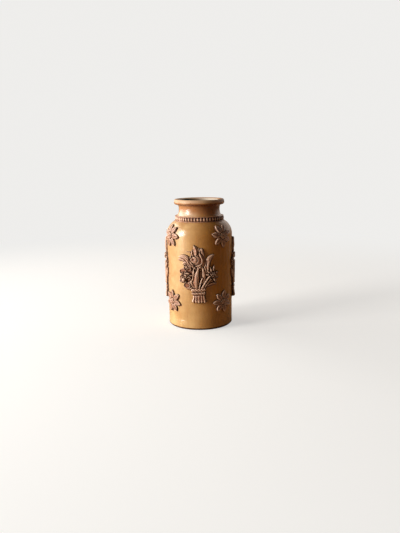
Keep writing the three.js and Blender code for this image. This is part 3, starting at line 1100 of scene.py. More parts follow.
@dataclass(frozen=True)
class BeadCollar:
    """Strip of upright beads between two narrow edges, round the root of the neck.

    Attributes:
        sizes: Sizes of the jar.
        seat_radius: Radius that the strip lies on.
        seat_gap: Gap over the ledge.
        thickness: Thickness of the strip behind the beads.
        top_edge: How far its upper edge stands out.
        bottom_edge: How far its lower edge stands out.
        edge_height: Height of each edge.
        beads: Number of beads.
        bead_width: Width of a bead.
        bead_stand: How far a bead stands out of the strip.
        bead_power: Power that squares a bead's ends.
        groove: Depth of the strip between two beads.
        columns_per_bead: Points round the axis for each bead.
    """

    sizes: JarSizes
    seat_radius: float = 28.5
    seat_gap: float = 0.05
    thickness: float = 1.6
    top_edge: float = 0.6
    bottom_edge: float = 1.2
    edge_height: float = 0.9
    beads: int = 50
    bead_width: float = 3.0
    bead_stand: float = 1.1
    bead_power: float = 2.6
    groove: float = 0.25
    columns_per_bead: int = 16

    @property
    def band(self) -> float:
        """Radius of the strip between the beads."""
        return self.seat_radius + self.thickness

    def section(self) -> Array:
        """Closed section of the strip without its beads.

        Returns:
            Points as radius and height.
        """
        low, high = self.sizes.ledge_height + self.seat_gap, self.sizes.collar_top
        under, over = low + self.edge_height, high - self.edge_height
        half = self.edge_height / 2
        bottom, top = (self.band + stand - half for stand in (self.bottom_edge, self.top_edge))
        return run_on(
            line((self.seat_radius, low), (bottom, low), step=0.6),
            arc((bottom, low + half), half, -90, 90, steps=8),
            line((bottom, under), (self.band, under), step=0.5),
            line((self.band, under), (self.band, over), step=0.2),
            line((self.band, over), (top, over), step=0.5),
            arc((top, high - half), half, -90, 90, steps=8),
            line((top, high), (self.seat_radius, high), step=0.6),
        )

    def build(self) -> bpy.types.Object:
        """Carries the section round the axis and raises the beads from it.

        Between the edges the radius is that of the strip plus the bead: stand times the square root of
        1 - u^2 - |w|^power, with u across the bead and w up it, from -1 to 1. The beads' stand and width
        vary a little from one to the next, and so does the strip's level round the neck. On the left,
        -X, the beads sink lower and the collar is painted paler, less dark between the beads and lighter on
        their tops: a painted highlight on the side towards the lamps. The gaps between the beads are darker
        and their tops paler, as glaze and painted light.

        Returns:
            The collar's object.
        """
        low, high = self.sizes.ledge_height + self.seat_gap, self.sizes.collar_top
        under, over = low + self.edge_height, high - self.edge_height
        section = self.section()
        columns = self.beads * self.columns_per_bead
        turn = np.arange(columns) / self.columns_per_bead
        number = np.floor(turn)
        angle = 2 * math.pi * turn / self.beads
        scatter, stand_scatter, width_scatter = 12.9898, 0.06, 0.03
        uneven = np.sin(number * scatter)
        half_width = self.bead_width * (1 + width_scatter * uneven) / 2
        across = (turn - number - 0.5) * 2 * math.pi * self.band / self.beads / half_width
        radius, height = section[:, :1], section[:, 1:]
        up = (height - (under + over) / 2) / ((over - under) / 2)
        between = (np.abs(radius - self.band) < SAME) & (height > under + SAME) & (height < over - SAME)
        full = np.clip(1 - across ** 2 - np.abs(up) ** self.bead_power, 0, 1)

        # On the left, -X, the beads sink and the collar is painted paler: a painted highlight towards the
        # lamps.
        fill_start, fill_length, fill_sinks = 0.5, 0.3, 0.45
        filled_and_lit = np.clip((-np.sin(angle) - fill_start) / fill_length, 0, 1)
        stand = self.bead_stand * (1 + stand_scatter * uneven) * (1 - fill_sinks * filled_and_lit) * np.sqrt(full)
        reach = radius + between * (stand - self.groove * (full <= 0))
        tilt, ripple = 0.12, 0.05
        level = height + tilt * np.sin(2 * angle + 0.7) + ripple * np.sin(9 * angle)

        # Gaps darkened as thick glaze and painted shade, bead tops paled as painted highlight; lighter still
        # on the left.
        edge_wear, fill_highlight, fill_clears, pool_width = 0.35, 0.35, 0.7, 0.3
        edges = radius > self.band + 0.2
        pool_and_shade = between * bell(full, pool_width) * (1 - fill_clears * filled_and_lit)
        crest = np.where(between, full ** 2, edge_wear * edges) + fill_highlight * filled_and_lit * between
        values = {POOL_AND_SHADE: (pool_and_shade + 0 * reach).ravel(), CREST: (crest + 0 * reach).ravel()}
        faces = [ring_faces(len(section), columns, closed_section=True)]
        return mesh_object("bead_collar_strip", round_axis(reach, angle, level), faces, values)


# Sprig relief


class Outline(Enum):
    """How a blade's half width runs from its root to its tip, as t^a (1 - t)^b over its largest value."""

    LEAF = (0.75, 0.8)
    SPADE = (1.0, 0.75)
    PETAL = (0.85, 0.38)
    RAY = (0.35, 0.85)
    STEM = (0.0, 0.0)

    def share(self, along: Array) -> Array:
        """Half width at each place along the blade, as a share of the largest.

        Args:
            along: Places from 0 at the root to 1 at the tip.

        Returns:
            Shares from 0 to 1.
        """
        rise, fall = self.value
        peak = rise / (rise + fall) if rise + fall > 0 else 0.5
        largest = peak ** rise * (1 - peak) ** fall
        return along ** rise * (1 - along) ** fall / largest


class Section(Enum):
    """Cross-section of a blade, by the share of the way from its midline to its edge."""

    ROUND = "round"
    KEEL = "keel"
    VEIN = "vein"
    CUP = "cup"
    SLAB = "slab"

    def height(self, share: Array, edge: Array) -> Array:
        """Height of the section as a share of the blade's rise.

        With s the share, a round section is 0.35 + 0.65 root of 1 - s^2, a keel falls from its ridge as
        1 - 0.6 s, a vein has a groove down its middle and falls as 1.02 - 0.56 s, and a slab has such a
        groove and falls as 1 - 0.16 s. A cup is 0.42 high, with a rim 0.58 higher at 0.6 mm from its edge.

        Args:
            share: Shares of the way from the midline to the edge.
            edge: Distances to the blade's edge, in millimetres.

        Returns:
            Shares of the rise.
        """
        if self is Section.ROUND:
            return 0.35 + 0.65 * np.sqrt(np.clip(1 - share ** 2, 0, 1))
        if self is Section.KEEL:
            return 1 - 0.6 * share
        if self is Section.VEIN:
            return 1.02 - 0.24 * bell(share, 0.13) - 0.56 * share
        if self is Section.SLAB:
            return 1 - 0.22 * bell(share, 0.16) - 0.16 * share
        return 0.42 + 0.58 * bell(edge - 0.6, 0.6)


@dataclass(frozen=True)
class Blade:
    """Leaf, petal, ray or stem along a curve on the flat.

    Attributes:
        root: First point of its curve.
        pull: Point that pulls the curve.
        tip: Last point of its curve.
        width: Largest width.
        rise: Heights at the root and at the tip, as shares of the relief.
        outline: Outline of the blade.
        section: Its cross-section.
        bow: Extra height in the middle of its length, as a share of the relief.
    """

    root: Point
    pull: Point
    tip: Point
    width: float
    rise: Point
    outline: Outline = Outline.LEAF
    section: Section = Section.ROUND
    bow: float = 0.0

    def scaled(self, unit: float) -> "Blade":
        """The same blade with its lengths in millimetres.

        Args:
            unit: Length of one unit of the drawing.

        Returns:
            The scaled blade.
        """
        root, pull, tip = ((spot[0] * unit, spot[1] * unit) for spot in (self.root, self.pull, self.tip))
        return replace(self, root=root, pull=pull, tip=tip, width=self.width * unit)


def petal(
    width: float, rise: Point, outline: Outline = Outline.PETAL, section: Section = Section.CUP,
    bow: float = 0.0,
) -> Blade:
    """Blade without a place, for a whorl to repeat.

    Args:
        width: Largest width.
        rise: Heights at the root and at the tip, as shares of the relief.
        outline: Outline of the petal.
        section: Its cross-section.
        bow: Extra height in the middle of its length, as a share of the relief.

    Returns:
        The blade.
    """
    middle = (0.0, 0.0)
    return Blade(middle, middle, middle, width, rise, outline, section, bow)


def polar(centre: Point, angle: float, reach: float, aside: float = 0.0) -> Point:
    """Point at a distance from a centre, moved aside to the left of its heading.

    Args:
        centre: The centre.
        angle: Heading, in radians from the right towards up.
        reach: Distance along the heading.
        aside: Distance to the left of it.

    Returns:
        The point.
    """
    right, up = math.cos(angle), math.sin(angle)
    return centre[0] + reach * right - aside * up, centre[1] + reach * up + aside * right


def share_of(value: Array, full: float) -> Array:
    """Value as a share of its full amount, kept between 0 and 1."""
    return np.clip(value / full, 0, 1)


class Relief:
    """Height field of a sprig over the flat, built by laying forms over one another.

    Each form has a height where it is, and outside it falls away under the wall's surface, so that the
    sprig's visible edge is where its surface meets the wall. A form that is laid over others cuts a
    narrow moat into them round its outline. Places and widths of the forms are in units of the drawing,
    their rises are shares of the relief, and moats and pits have depths in millimetres.

    Attributes:
        buried: Height where there is nothing.
        fall: Slope outside a form.
        edge: Width over which a form rounds over to its outline.
        moat_width: Width of a moat.
        moat_floor: Least height that a moat leaves.
        pit_floor: Least height that a pit leaves.
        back: Height of the shell's back.
    """

    buried = -0.7
    fall = 1.6
    edge = 0.45
    moat_width = 0.5
    moat_floor = 0.12
    pit_floor = 0.15
    back = -1.1

    def __init__(self, low: Point, high: Point, step: float, relief: float, unit: float = 1.0) -> None:
        """Makes an empty grid.

        Args:
            low: Lower left corner of the drawing.
            high: Its upper right corner.
            step: Distance between two points of the grid, in millimetres.
            relief: Largest usual height, in millimetres.
            unit: Length of a unit of the drawing, in millimetres.
        """
        self.unit = unit
        low, high = self.spot(low), self.spot(high)
        columns = math.ceil((high[0] - low[0]) / step) + 1
        rows = math.ceil((high[1] - low[1]) / step) + 1
        self.step = step
        self.low = low
        self.relief = relief
        self.across = low[0] + step * np.arange(columns)
        self.up = low[1] + step * np.arange(rows)
        self.height = np.full((rows, columns), self.buried)

    def spot(self, point: Point) -> Point:
        """A drawn point in millimetres."""
        return point[0] * self.unit, point[1] * self.unit

    def window(self, low: Point, high: Point) -> tuple[slice, slice]:
        """Rows and columns of the grid that hold a box.

        Args:
            low: Lower left corner of the box, in millimetres.
            high: Its upper right corner.

        Returns:
            Slices of the rows and the columns.
        """
        margin = 2.0
        bounds = []
        for axis, places in ((1, self.up), (0, self.across)):
            first = int((low[axis] - margin - self.low[axis]) / self.step)
            last = int((high[axis] + margin - self.low[axis]) / self.step) + 2
            bounds.append(slice(max(first, 0), min(last, len(places))))
        return bounds[0], bounds[1]

    def round_window(self, centre: Point, radius: float) -> tuple[tuple[slice, slice], Array]:
        """Window that holds a circle, and each point's distance from its centre.

        Args:
            centre: Centre of the circle, in millimetres.
            radius: Its radius.

        Returns:
            Window and distances.
        """
        low, high = ((centre[0] + side * radius, centre[1] + side * radius) for side in (-1, 1))
        part = self.window(low, high)
        right, up = np.meshgrid(self.across[part[1]] - centre[0], self.up[part[0]] - centre[1])
        return part, np.hypot(right, up)

    def cover(self, part: tuple[slice, slice], inside: Array, form: Array, moat: float) -> None:
        """Lays a form over what is there.

        Args:
            part: Window of the grid.
            inside: Distances inside the form's outline, negative outside it.
            form: Heights of the form where it is.
            moat: Depth of the moat that it cuts round itself, in millimetres.
        """
        rounded = form * np.sqrt(share_of(inside, self.edge))
        whole = np.where(inside > 0, rounded, self.fall * inside)
        old = self.height[part]
        cut = moat * bell(np.minimum(inside, 0), self.moat_width) * (old > 0)
        lowered = np.where(old > 0, np.maximum(old - cut, self.moat_floor), old)
        self.height[part] = np.maximum(lowered, np.maximum(whole, self.buried))

    def blade(self, blade: Blade, moat: float = 0.9) -> None:
        """Lays a blade.

        A point's place along the blade and its distance from the midline are those of the nearest point
        of the curve (1 - t)^2 root + 2 t (1 - t) pull + t^2 tip.

        Args:
            blade: The blade, in millimetres.
            moat: Depth of the moat round it.
        """
        knots = 28
        along = np.linspace(0, 1, knots + 1)[:, None]
        root, pull, tip = (np.array(spot) for spot in (blade.root, blade.pull, blade.tip))
        curve = (1 - along) ** 2 * root + 2 * along * (1 - along) * pull + along ** 2 * tip
        reach = blade.width / 2
        part = self.window(tuple(curve.min(0) - reach), tuple(curve.max(0) + reach))
        spots = np.stack(np.meshgrid(self.across[part[1]], self.up[part[0]]), axis=-1)[:, :, None, :]
        start, step = curve[:-1], np.diff(curve, axis=0)
        share = np.clip(((spots - start) * step).sum(-1) / (step ** 2).sum(-1), 0, 1)
        away = np.linalg.norm(spots - start - share[..., None] * step, axis=-1)
        nearest = away.argmin(-1)[..., None]
        distance = np.take_along_axis(away, nearest, -1)[..., 0]
        place = (nearest[..., 0] + np.take_along_axis(share, nearest, -1)[..., 0]) / knots
        half = reach * blade.outline.share(place)
        inside = half - distance
        ratio = np.clip(distance / np.maximum(half, SAME), 0, 1)
        slope = (blade.rise[1] - blade.rise[0]) * place
        rise = blade.rise[0] + slope + blade.bow * np.sin(math.pi * place)
        self.cover(part, inside, self.relief * rise * blade.section.height(ratio, inside), moat)

    def put(self, *blades: Blade, moat: float = 0.9) -> None:
        """Lays drawn blades in order, each with a moat of that depth."""
        for blade in blades:
            self.blade(blade.scaled(self.unit), moat)

    def dome(self, centre: Point, radius: float, rise: float, base: float = 0.3, moat: float = 0.9) -> None:
        """Lays a dome: its height is rise (base + (1 - base) square root of 1 - (distance / radius)^2).

        Args:
            centre: Its middle.
            radius: Its radius.
            rise: Its height as a share of the relief.
            base: Share of its height at its edge.
            moat: Depth of the moat round it.
        """
        centre, radius = self.spot(centre), radius * self.unit
        part, distance = self.round_window(centre, radius)
        swell = np.sqrt(np.clip(1 - (distance / radius) ** 2, 0, 1))
        self.cover(part, radius - distance, self.relief * rise * (base + (1 - base) * swell), moat)

    def pit(self, centre: Point, radius: float, depth: float) -> None:
        """Sinks a round pit, a bell-shaped hollow, into what is there.

        Args:
            centre: Its middle.
            radius: Its radius.
            depth: Its depth, in millimetres.
        """
        centre, radius = self.spot(centre), radius * self.unit
        part, distance = self.round_window(centre, radius)
        old = self.height[part]
        sunk = np.maximum(old - depth * bell(distance, radius), self.pit_floor)
        self.height[part] = np.where(old > self.pit_floor, sunk, old)

    def whorl(
        self, centre: Point, count: int, inner: float, outer: float, turn: float, pattern: Blade,
        sway: float = 0.0, uneven: float = 0.0,
    ) -> None:
        """Lays petals round a centre, about evenly spaced.

        Args:
            centre: The centre.
            count: Number of petals.
            inner: Radius at which their roots are.
            outer: Radius at which their tips are.
            turn: Angle of the first one, in degrees clockwise from up.
            pattern: A blade that gives their width, rise, outline and section.
            sway: How far each petal's middle is pulled sideways.
            uneven: How much the petals differ in length and spacing, from 0 to 1.
        """
        shift_range, length_range = 24, 0.22
        centre, pattern = self.spot(centre), pattern.scaled(self.unit)
        inner, outer, sway = inner * self.unit, outer * self.unit, sway * self.unit
        middle = (inner + outer) / 2
        for index in range(count):
            shift = shift_range * uneven * math.sin(5.1 * index + turn)
            length = outer * (1 + length_range * uneven * math.cos(3.7 * index + turn))
            angle = math.radians(90 - turn - shift - index * 360 / count)
            root, pull = polar(centre, angle, inner), polar(centre, angle, middle, sway)
            self.blade(replace(pattern, root=root, pull=pull, tip=polar(centre, angle, length)))

    def cord(self, low: Point, high: Point, half_height: float, rise: float, strand: float) -> None:
        """Lays a level turn of twisted cord, whose strands slope across it.

        Its height is rise times (0.3 + 0.7 root of 1 - w^2), with w up the cord, and at most 0.16 lower in
        the notches, where the cosine of 2 pi (across + 1.1 up) / strand is high.

        Args:
            low: Left end of its midline.
            high: Right end of its midline.
            half_height: Half its height.
            rise: Its height as a share of the relief.
            strand: Distance between two strands.
        """
        edge_height, notch, lean, moat = 0.3, 0.16, 1.1, 0.7
        low, high = self.spot(low), self.spot(high)
        half_height, strand = half_height * self.unit, strand * self.unit
        part = self.window((low[0], low[1] - half_height), (high[0], high[1] + half_height))
        right, up = np.meshgrid(self.across[part[1]], self.up[part[0]])
        beyond = np.maximum(np.maximum(low[0] - right, right - high[0]), 0)
        slope = (high[1] - low[1]) / (high[0] - low[0])
        over = up - low[1] - slope * (right - low[0])
        distance = np.hypot(beyond, over)
        swell = np.sqrt(np.clip(1 - (distance / half_height) ** 2, 0, 1))
        twist = 0.5 - 0.5 * np.cos(2 * math.pi * (right + lean * over) / strand)
        section = edge_height + (1 - edge_height) * swell
        form = self.relief * rise * section * (1 - notch + notch * np.sqrt(twist))
        self.cover(part, half_height - distance, form, moat)

    def painted_shadow_skirt(self) -> Array:
        """Painted cast shadow: a low skirt of dark glaze to the sprig's right and below it, away from the
        light.

        The skirt is the sprig's own footprint, moved and blurred: top - slope (1 - footprint).

        Returns:
            Heights of the skirt, under the wall's surface where there is none.
        """
        top, slope, stands_from = 0.26, 1.1, 0.5
        aside, down = round(1.2 / self.step), round(1.4 / self.step)
        footprint = np.zeros_like(self.height)
        footprint[:-down, aside:] = self.height[down:, :-aside] > stands_from
        return top - slope * (1 - soften(footprint, 4))

    def kept(self, surface: Array) -> Array:
        """Cells of the grid whose corners all stand over the buried level.

        Cells that would touch at a corner alone get a neighbour between them.

        Args:
            surface: Heights of the grid's points.

        Returns:
            Whether each cell is kept.
        """
        clearance, passes = 0.12, 4
        solid = surface > self.buried + clearance
        cells = solid[:-1, :-1] & solid[1:, :-1] & solid[:-1, 1:] & solid[1:, 1:]
        for _ in range(passes):
            rising = cells[:-1, :-1] & cells[1:, 1:] & ~cells[1:, :-1] & ~cells[:-1, 1:]
            falling = cells[1:, :-1] & cells[:-1, 1:] & ~cells[:-1, :-1] & ~cells[1:, 1:]
            cells[:-1, 1:] |= rising
            cells[:-1, :-1] |= falling
        return cells

    def shell_faces(self, cells: Array) -> Array:
        """Quads of the top, of the back under it and of the upright sides between the two.

        Args:
            cells: Whether each cell is kept.

        Returns:
            Corner numbers, where those of the back follow those of the top.
        """
        rows, columns = self.height.shape
        back = rows * columns
        index = np.arange(back).reshape(rows, columns)
        corners = np.stack([index[:-1, :-1], index[:-1, 1:], index[1:, 1:], index[1:, :-1]], axis=-1)
        top = corners[cells]
        framed = np.pad(cells, 1)
        sides = []
        around = (framed[:-2, 1:-1], framed[1:-1, 2:], framed[2:, 1:-1], framed[1:-1, :-2])
        for first, beside in enumerate(around):
            open_side = corners[cells & ~beside]
            here, there = open_side[:, first], open_side[:, (first + 1) % 4]
            sides.append(np.column_stack([there, here, here + back, there + back]))
        return np.vstack([top, top[:, ::-1] + back, *sides])

    def wear_and_light(self, smooth: Array) -> dict[str, Array]:
        """Where the glaze pools and where it runs thinner, and where shade and highlights are painted.

        The value of the recesses is how far a point lies under the heights blurred by a little and by a lot,
        and under the highest point beside it; it darkens them, partly as thick glaze and partly as painted
        shade. The crest value is how far it lies over the blurred heights; it pales crests as thinner glaze
        and painted highlight.

        Args:
            smooth: Heights of the grid's points.

        Returns:
            Pool and crest values of the grid's points, from 0 to 1.
        """
        lifted = np.maximum(smooth, 0)
        near, far = soften(lifted, 6), soften(lifted, 40)
        # Steep flanks are darkened too: painted shade where the side of a form falls away.
        flank = share_of(peak_near(lifted, 2) - lifted - 0.35, 0.8)
        pool_and_shade = share_of(near - lifted, 0.26) + share_of(far - lifted, 0.9) + 0.8 * flank
        # Crests: thinner glaze, and painted highlight.
        crest = 0.8 * share_of(lifted - near, 0.13) + 0.6 * share_of(lifted - far, 1.3)
        return {POOL_AND_SHADE: np.clip(pool_and_shade, 0, 1), CREST: np.clip(crest, 0, 1)}

    def mesh(
        self, name: str, path: WallPath, azimuth: float, level: float, turn_of_grain: int,
    ) -> bpy.types.Object:
        """Lays the relief on the wall as a closed shell, whose back lies deeper in the wall.

        Args:
            name: Name of the object.
            path: The jar's wall.
            azimuth: Azimuth of the sprig's middle.
            level: Height on the wall of the sprig's zero.
            turn_of_grain: Number that varies the sprig's small unevenness.

        Returns:
            The sprig's object.
        """
        unevenness, uneven_passes, uneven_from = 0.07, 40, 0.3
        # The skirt adds a painted cast shadow to the right of the sprig and below it.
        smooth = soften(np.maximum(self.height, self.painted_shadow_skirt()), 1)
        rng = np.random.default_rng(turn_of_grain)
        uneven = soften(rng.standard_normal(smooth.shape), uneven_passes)
        surface = smooth + uneven * unevenness / uneven.std() * (smooth > uneven_from)

        faces = self.shell_faces(self.kept(surface))
        right, up = np.meshgrid(self.across, self.up)
        climb = path.climb_to(level) + np.tile(up.ravel(), 2)
        stand = np.concatenate([surface.ravel(), np.full(surface.size, self.back)])
        points = path.lay(azimuth, np.tile(right.ravel(), 2), climb, stand)
        used, numbered = np.unique(faces, return_inverse=True)
        values = {label: np.tile(value.ravel(), 2)[used] for label, value in self.wear_and_light(smooth).items()}
        return mesh_object(name, points[used], [numbered.reshape(-1, 4)], values)


# Posies and sprays


@dataclass
class Drawing:
    """Sprig that is drawn in hundredths of its height, on a height field of its own.

    Attributes:
        tall: Height of the sprig.
        relief: Its largest usual height over the wall.
        low: Lower left corner of the drawing.
        high: Its upper right corner.
        step: Distance between two points of the height field.
    """

    tall: float
    relief: float
    low: Point
    high: Point
    step: float = 0.25

    def __post_init__(self) -> None:
        """Makes the empty height field."""
        self.field = Relief(self.low, self.high, self.step, self.relief, self.tall / 100)

    def stalks(self, order: Sequence[int], cord: float, foot: float, width: float) -> None:
        """Lays the cut stalks that flare below the binding.

        Args:
            order: Numbers of the stalks from left to right, in the order in which they are laid.
            cord: Half width of the bundle at the cord.
            foot: Half width of the bundle at the cut ends.
            width: Width of a stalk.
        """
        top, knee, cut = 20, 9, 2.6
        knee_share = 0.94
        for index in order:
            side = (2 * index + 1 - len(order)) / len(order)
            ends = (side * cord, top), (side * cord * knee_share, knee), (side * foot, cut)
            self.field.put(Blade(*ends, width, (0.7, 0.98), Outline.STEM), moat=0.45)


@dataclass
class Posy(Drawing):
    """Spray of garden flowers tied with cord."""

    tall: float = 70.5
    relief: float = 4.2
    low: Point = (-44, -5)
    high: Point = (40, 106)

    def web(self) -> None:
        """Lays the thin web of clay that joins the leaves and stems between the flowers."""
        low = (0.26, 0.22)
        self.field.put(
            Blade((0, 24), (-2, 42), (-3, 68), 17, low),
            Blade((3, 22), (12, 34), (22, 46), 11, low),
            Blade((3, 40), (12, 58), (6, 84), 11, low),
            Blade((-3, 24), (-8, 34), (-16, 44), 9, low),
            Blade((-12, 50), (-14, 64), (-18, 76), 9, low),
            Blade((0, 15.5), (0, 10), (0, 6), 14, low, Outline.STEM),
        )

    def foliage(self) -> None:
        """Lays the leaves that spread behind the flowers, and a stem with its blunt end."""
        vein, keel, stem = Section.VEIN, Section.KEEL, Outline.STEM
        self.field.put(
            Blade((-6, 88), (-14, 89.5), (-24, 88.6), 2.4, (0.5, 0.3), Outline.RAY),
            Blade((-15, 68), (-27, 80), (-39, 73.5), 6.4, (0.6, 0.45), section=vein),
            Blade((-14, 66), (-21, 75), (-29.5, 66.5), 6.0, (0.6, 0.45), section=vein),
            Blade((-13, 56), (-13.5, 87), (-37.5, 79), 9.6, (1.0, 0.7), section=vein, bow=0.2),
            Blade((16.5, 52), (11, 80), (28, 84), 9.0, (0.8, 0.65), section=vein, bow=0.2),
            Blade((1, 56), (8, 64), (15, 74), 8.0, (0.55, 0.5), section=vein),
            Blade((7, 26), (17, 35), (33, 33), 6.0, (0.6, 0.45), section=keel),
            Blade((8, 29), (18, 40), (33, 38), 5.0, (0.6, 0.4), section=keel),
            Blade((-5, 26), (-16, 23.5), (-28, 27.5), 5.4, (0.55, 0.4), section=keel),
        )
        self.field.put(
            Blade((10, 42), (14, 66), (6.8, 86), 5.4, (0.5, 0.62), stem, vein),
            Blade((7.6, 80), (7, 86), (5.4, 92.5), 6.4, (0.62, 0.66), stem, vein),
            moat=0.5,
        )

    def small_flower(self) -> None:
        """Lays the small open flower above the rose."""
        centre = (-20.6, 62.6)
        self.field.dome(centre, 5.4, 0.42)
        self.field.whorl(centre, 5, 0.8, 6.6, 18, petal(5.4, (0.5, 0.6)), uneven=0.3)
        self.field.dome(centre, 2.3, 0.74)

    def rose(self) -> None:
        """Lays the full-blown rose: three rings of cupped petals round a rolled heart.

        Each hollow between its petals is given as right, up, radius and depth from the rose's centre.
        """
        centre = (-20, 44.4)
        self.field.dome(centre, 13, 0.45)
        self.field.whorl(centre, 6, 4, 17.0, 14, petal(13.0, (0.5, 0.68)), sway=1.6, uneven=0.5)
        self.field.whorl(centre, 5, 2, 11.6, 38, petal(11.0, (0.7, 0.95)), sway=1.8, uneven=0.6)
        self.field.whorl(centre, 3, 0.5, 6.8, 5, petal(7.4, (0.85, 1.12)), sway=1.8, uneven=0.4)
        hollows = (
            (1.6, 11.0, 2.5, 3.2), (5.2, 9.4, 2.8, 3.4), (8.4, 6.6, 2.2, 3.0), (1.2, -5.2, 2.9, 3.4),
            (1.0, 2.4, 1.2, 1.8), (-2.4, 13.4, 1.4, 1.8), (-6.8, 2.8, 1.4, 1.6), (7.4, -4.8, 1.6, 1.8),
        )
        for right, up, radius, depth in hollows:
            self.field.pit((centre[0] + right, centre[1] + up), radius, depth)
        self.field.put(
            Blade((-12.6, 37), (-6.2, 46), (-11.4, 57), 3.2, (0.9, 1.0), Outline.RAY),
            Blade((-14.5, 50.5), (-19.5, 53.6), (-24.5, 49.5), 3.0, (0.95, 1.0), Outline.RAY),
            Blade((-28, 45), (-29, 37.6), (-22.4, 35.4), 4.4, (0.95, 1.05), Outline.RAY),
            moat=0.6,
        )
        self.field.dome((-25.2, 40.4), 3.2, 1.12, base=0.6, moat=0.6)
        self.field.dome((-21.2, 47.4), 2.2, 1.1, base=0.6, moat=0.5)

    def cornflower(self) -> None:
        """Lays the cornflower: pointed rays round a heart of small florets, set in a spiral."""
        centre, heart = (23, 47.6), (24.4, 48.4)
        tips = (
            (13, 41), (20, 36), (28.5, 35), (34.5, 43), (34, 54.5), (26.5, 67), (19, 64.5), (13, 58),
            (9.5, 50),
        )
        self.field.dome(centre, 8.5, 0.4)
        for tip in tips:
            self.field.put(Blade(centre, centre, tip, 6.4, (0.7, 0.72), section=Section.KEEL, bow=0.1))
        self.field.dome(heart, 5.9, 0.84)
        florets, golden_turn, spread = 13, 2.39996, 1.42
        for index in range(florets):
            spot = polar(heart, golden_turn * index, spread * math.sqrt(index))
            self.field.dome(spot, 1.2, 1.06 - 0.02 * index, base=0.72, moat=0.7)

    def closed_bud(self) -> None:
        """Lays the closed bud at the top, whose flame-shaped tip stands between its sepals."""
        keel = Section.KEEL
        self.field.put(
            Blade((-5, 77), (-1.0, 91), (-8.3, 101), 9.6, (0.85, 0.65), section=keel),
            Blade((-7, 79), (-13.2, 86), (-9.6, 94), 5.2, (0.7, 0.5), Outline.RAY, keel),
            Blade((-2.4, 79), (3.8, 87), (0.8, 97), 5.2, (0.7, 0.5), Outline.RAY, keel),
        )

    def opening_bud(self) -> None:
        """Lays the opening bud in the middle: a hollow heart in a rounder bud, in a cup of petals."""
        keel = Section.KEEL
        self.field.put(
            Blade((-4, 59), (-15.5, 66), (-12.5, 85), 7.4, (0.7, 0.6), section=keel),
            Blade((-3, 59), (11, 68), (1.0, 89), 12.0, (0.75, 0.8), section=keel, bow=0.1),
        )
        self.field.dome((-3.6, 74.6), 8.4, 0.82)
        self.field.dome((-7.4, 75.4), 6.0, 1.02, base=0.7, moat=0.6)
        self.field.pit((-8.4, 76.4), 2.6, 1.5)
        self.field.pit((-9.6, 79.4), 1.1, 1.2)
        self.field.put(
            Blade((-13.6, 74), (-11.6, 65.8), (-4.0, 66.8), 3.4, (0.9, 1.0), Outline.RAY),
            Blade((-5.0, 64.6), (3.4, 64.6), (5.6, 71.5), 3.8, (0.9, 0.8), Outline.RAY),
            moat=0.7,
        )

    def stems(self) -> None:
        """Lays the leaves and stems that rise out of the binding."""
        vein, stem = Section.VEIN, Outline.STEM
        self.field.put(
            Blade((-3, 18), (-8, 27), (-13, 37), 4.2, (0.65, 0.6), stem),
            Blade((4, 21), (13, 46), (5.2, 66), 6.6, (0.7, 0.58), section=vein, bow=0.1),
            Blade((-5, 19), (-10.6, 42), (-7.4, 65), 4.4, (0.75, 0.7), section=vein, bow=0.1),
            Blade((4.5, 18), (10, 30), (20.5, 41), 3.8, (0.75, 0.7), stem),
            Blade((2.5, 18), (7.5, 34), (18.6, 46.4), 4.0, (0.88, 0.85), stem),
            Blade((-2.6, 20), (-6.4, 41), (0.6, 62.5), 9.4, (0.9, 0.9), section=vein, bow=0.16),
            Blade((0.6, 18), (1.4, 33), (6, 43.5), 3.2, (0.88, 0.85), stem),
        )

    def binding(self) -> None:
        """Lays the cut stalks and the two turns of cord over them."""
        strand = 4.6
        self.stalks((0, 4, 1, 3, 2), cord=8.5, foot=11.4, width=6.4)
        self.field.cord((-9.6, 16.2), (8.6, 16.4), 3.1, 0.86, strand)
        self.field.cord((-10.2, 21.8), (8.8, 22.6), 3.3, 0.92, strand)

    def drawn(self) -> Relief:
        """Draws the whole posy.

        Returns:
            Its height field.
        """
        self.web()
        self.foliage()
        self.small_flower()
        self.rose()
        self.cornflower()
        self.closed_bud()
        self.opening_bud()
        self.stems()
        self.binding()
        return self.field


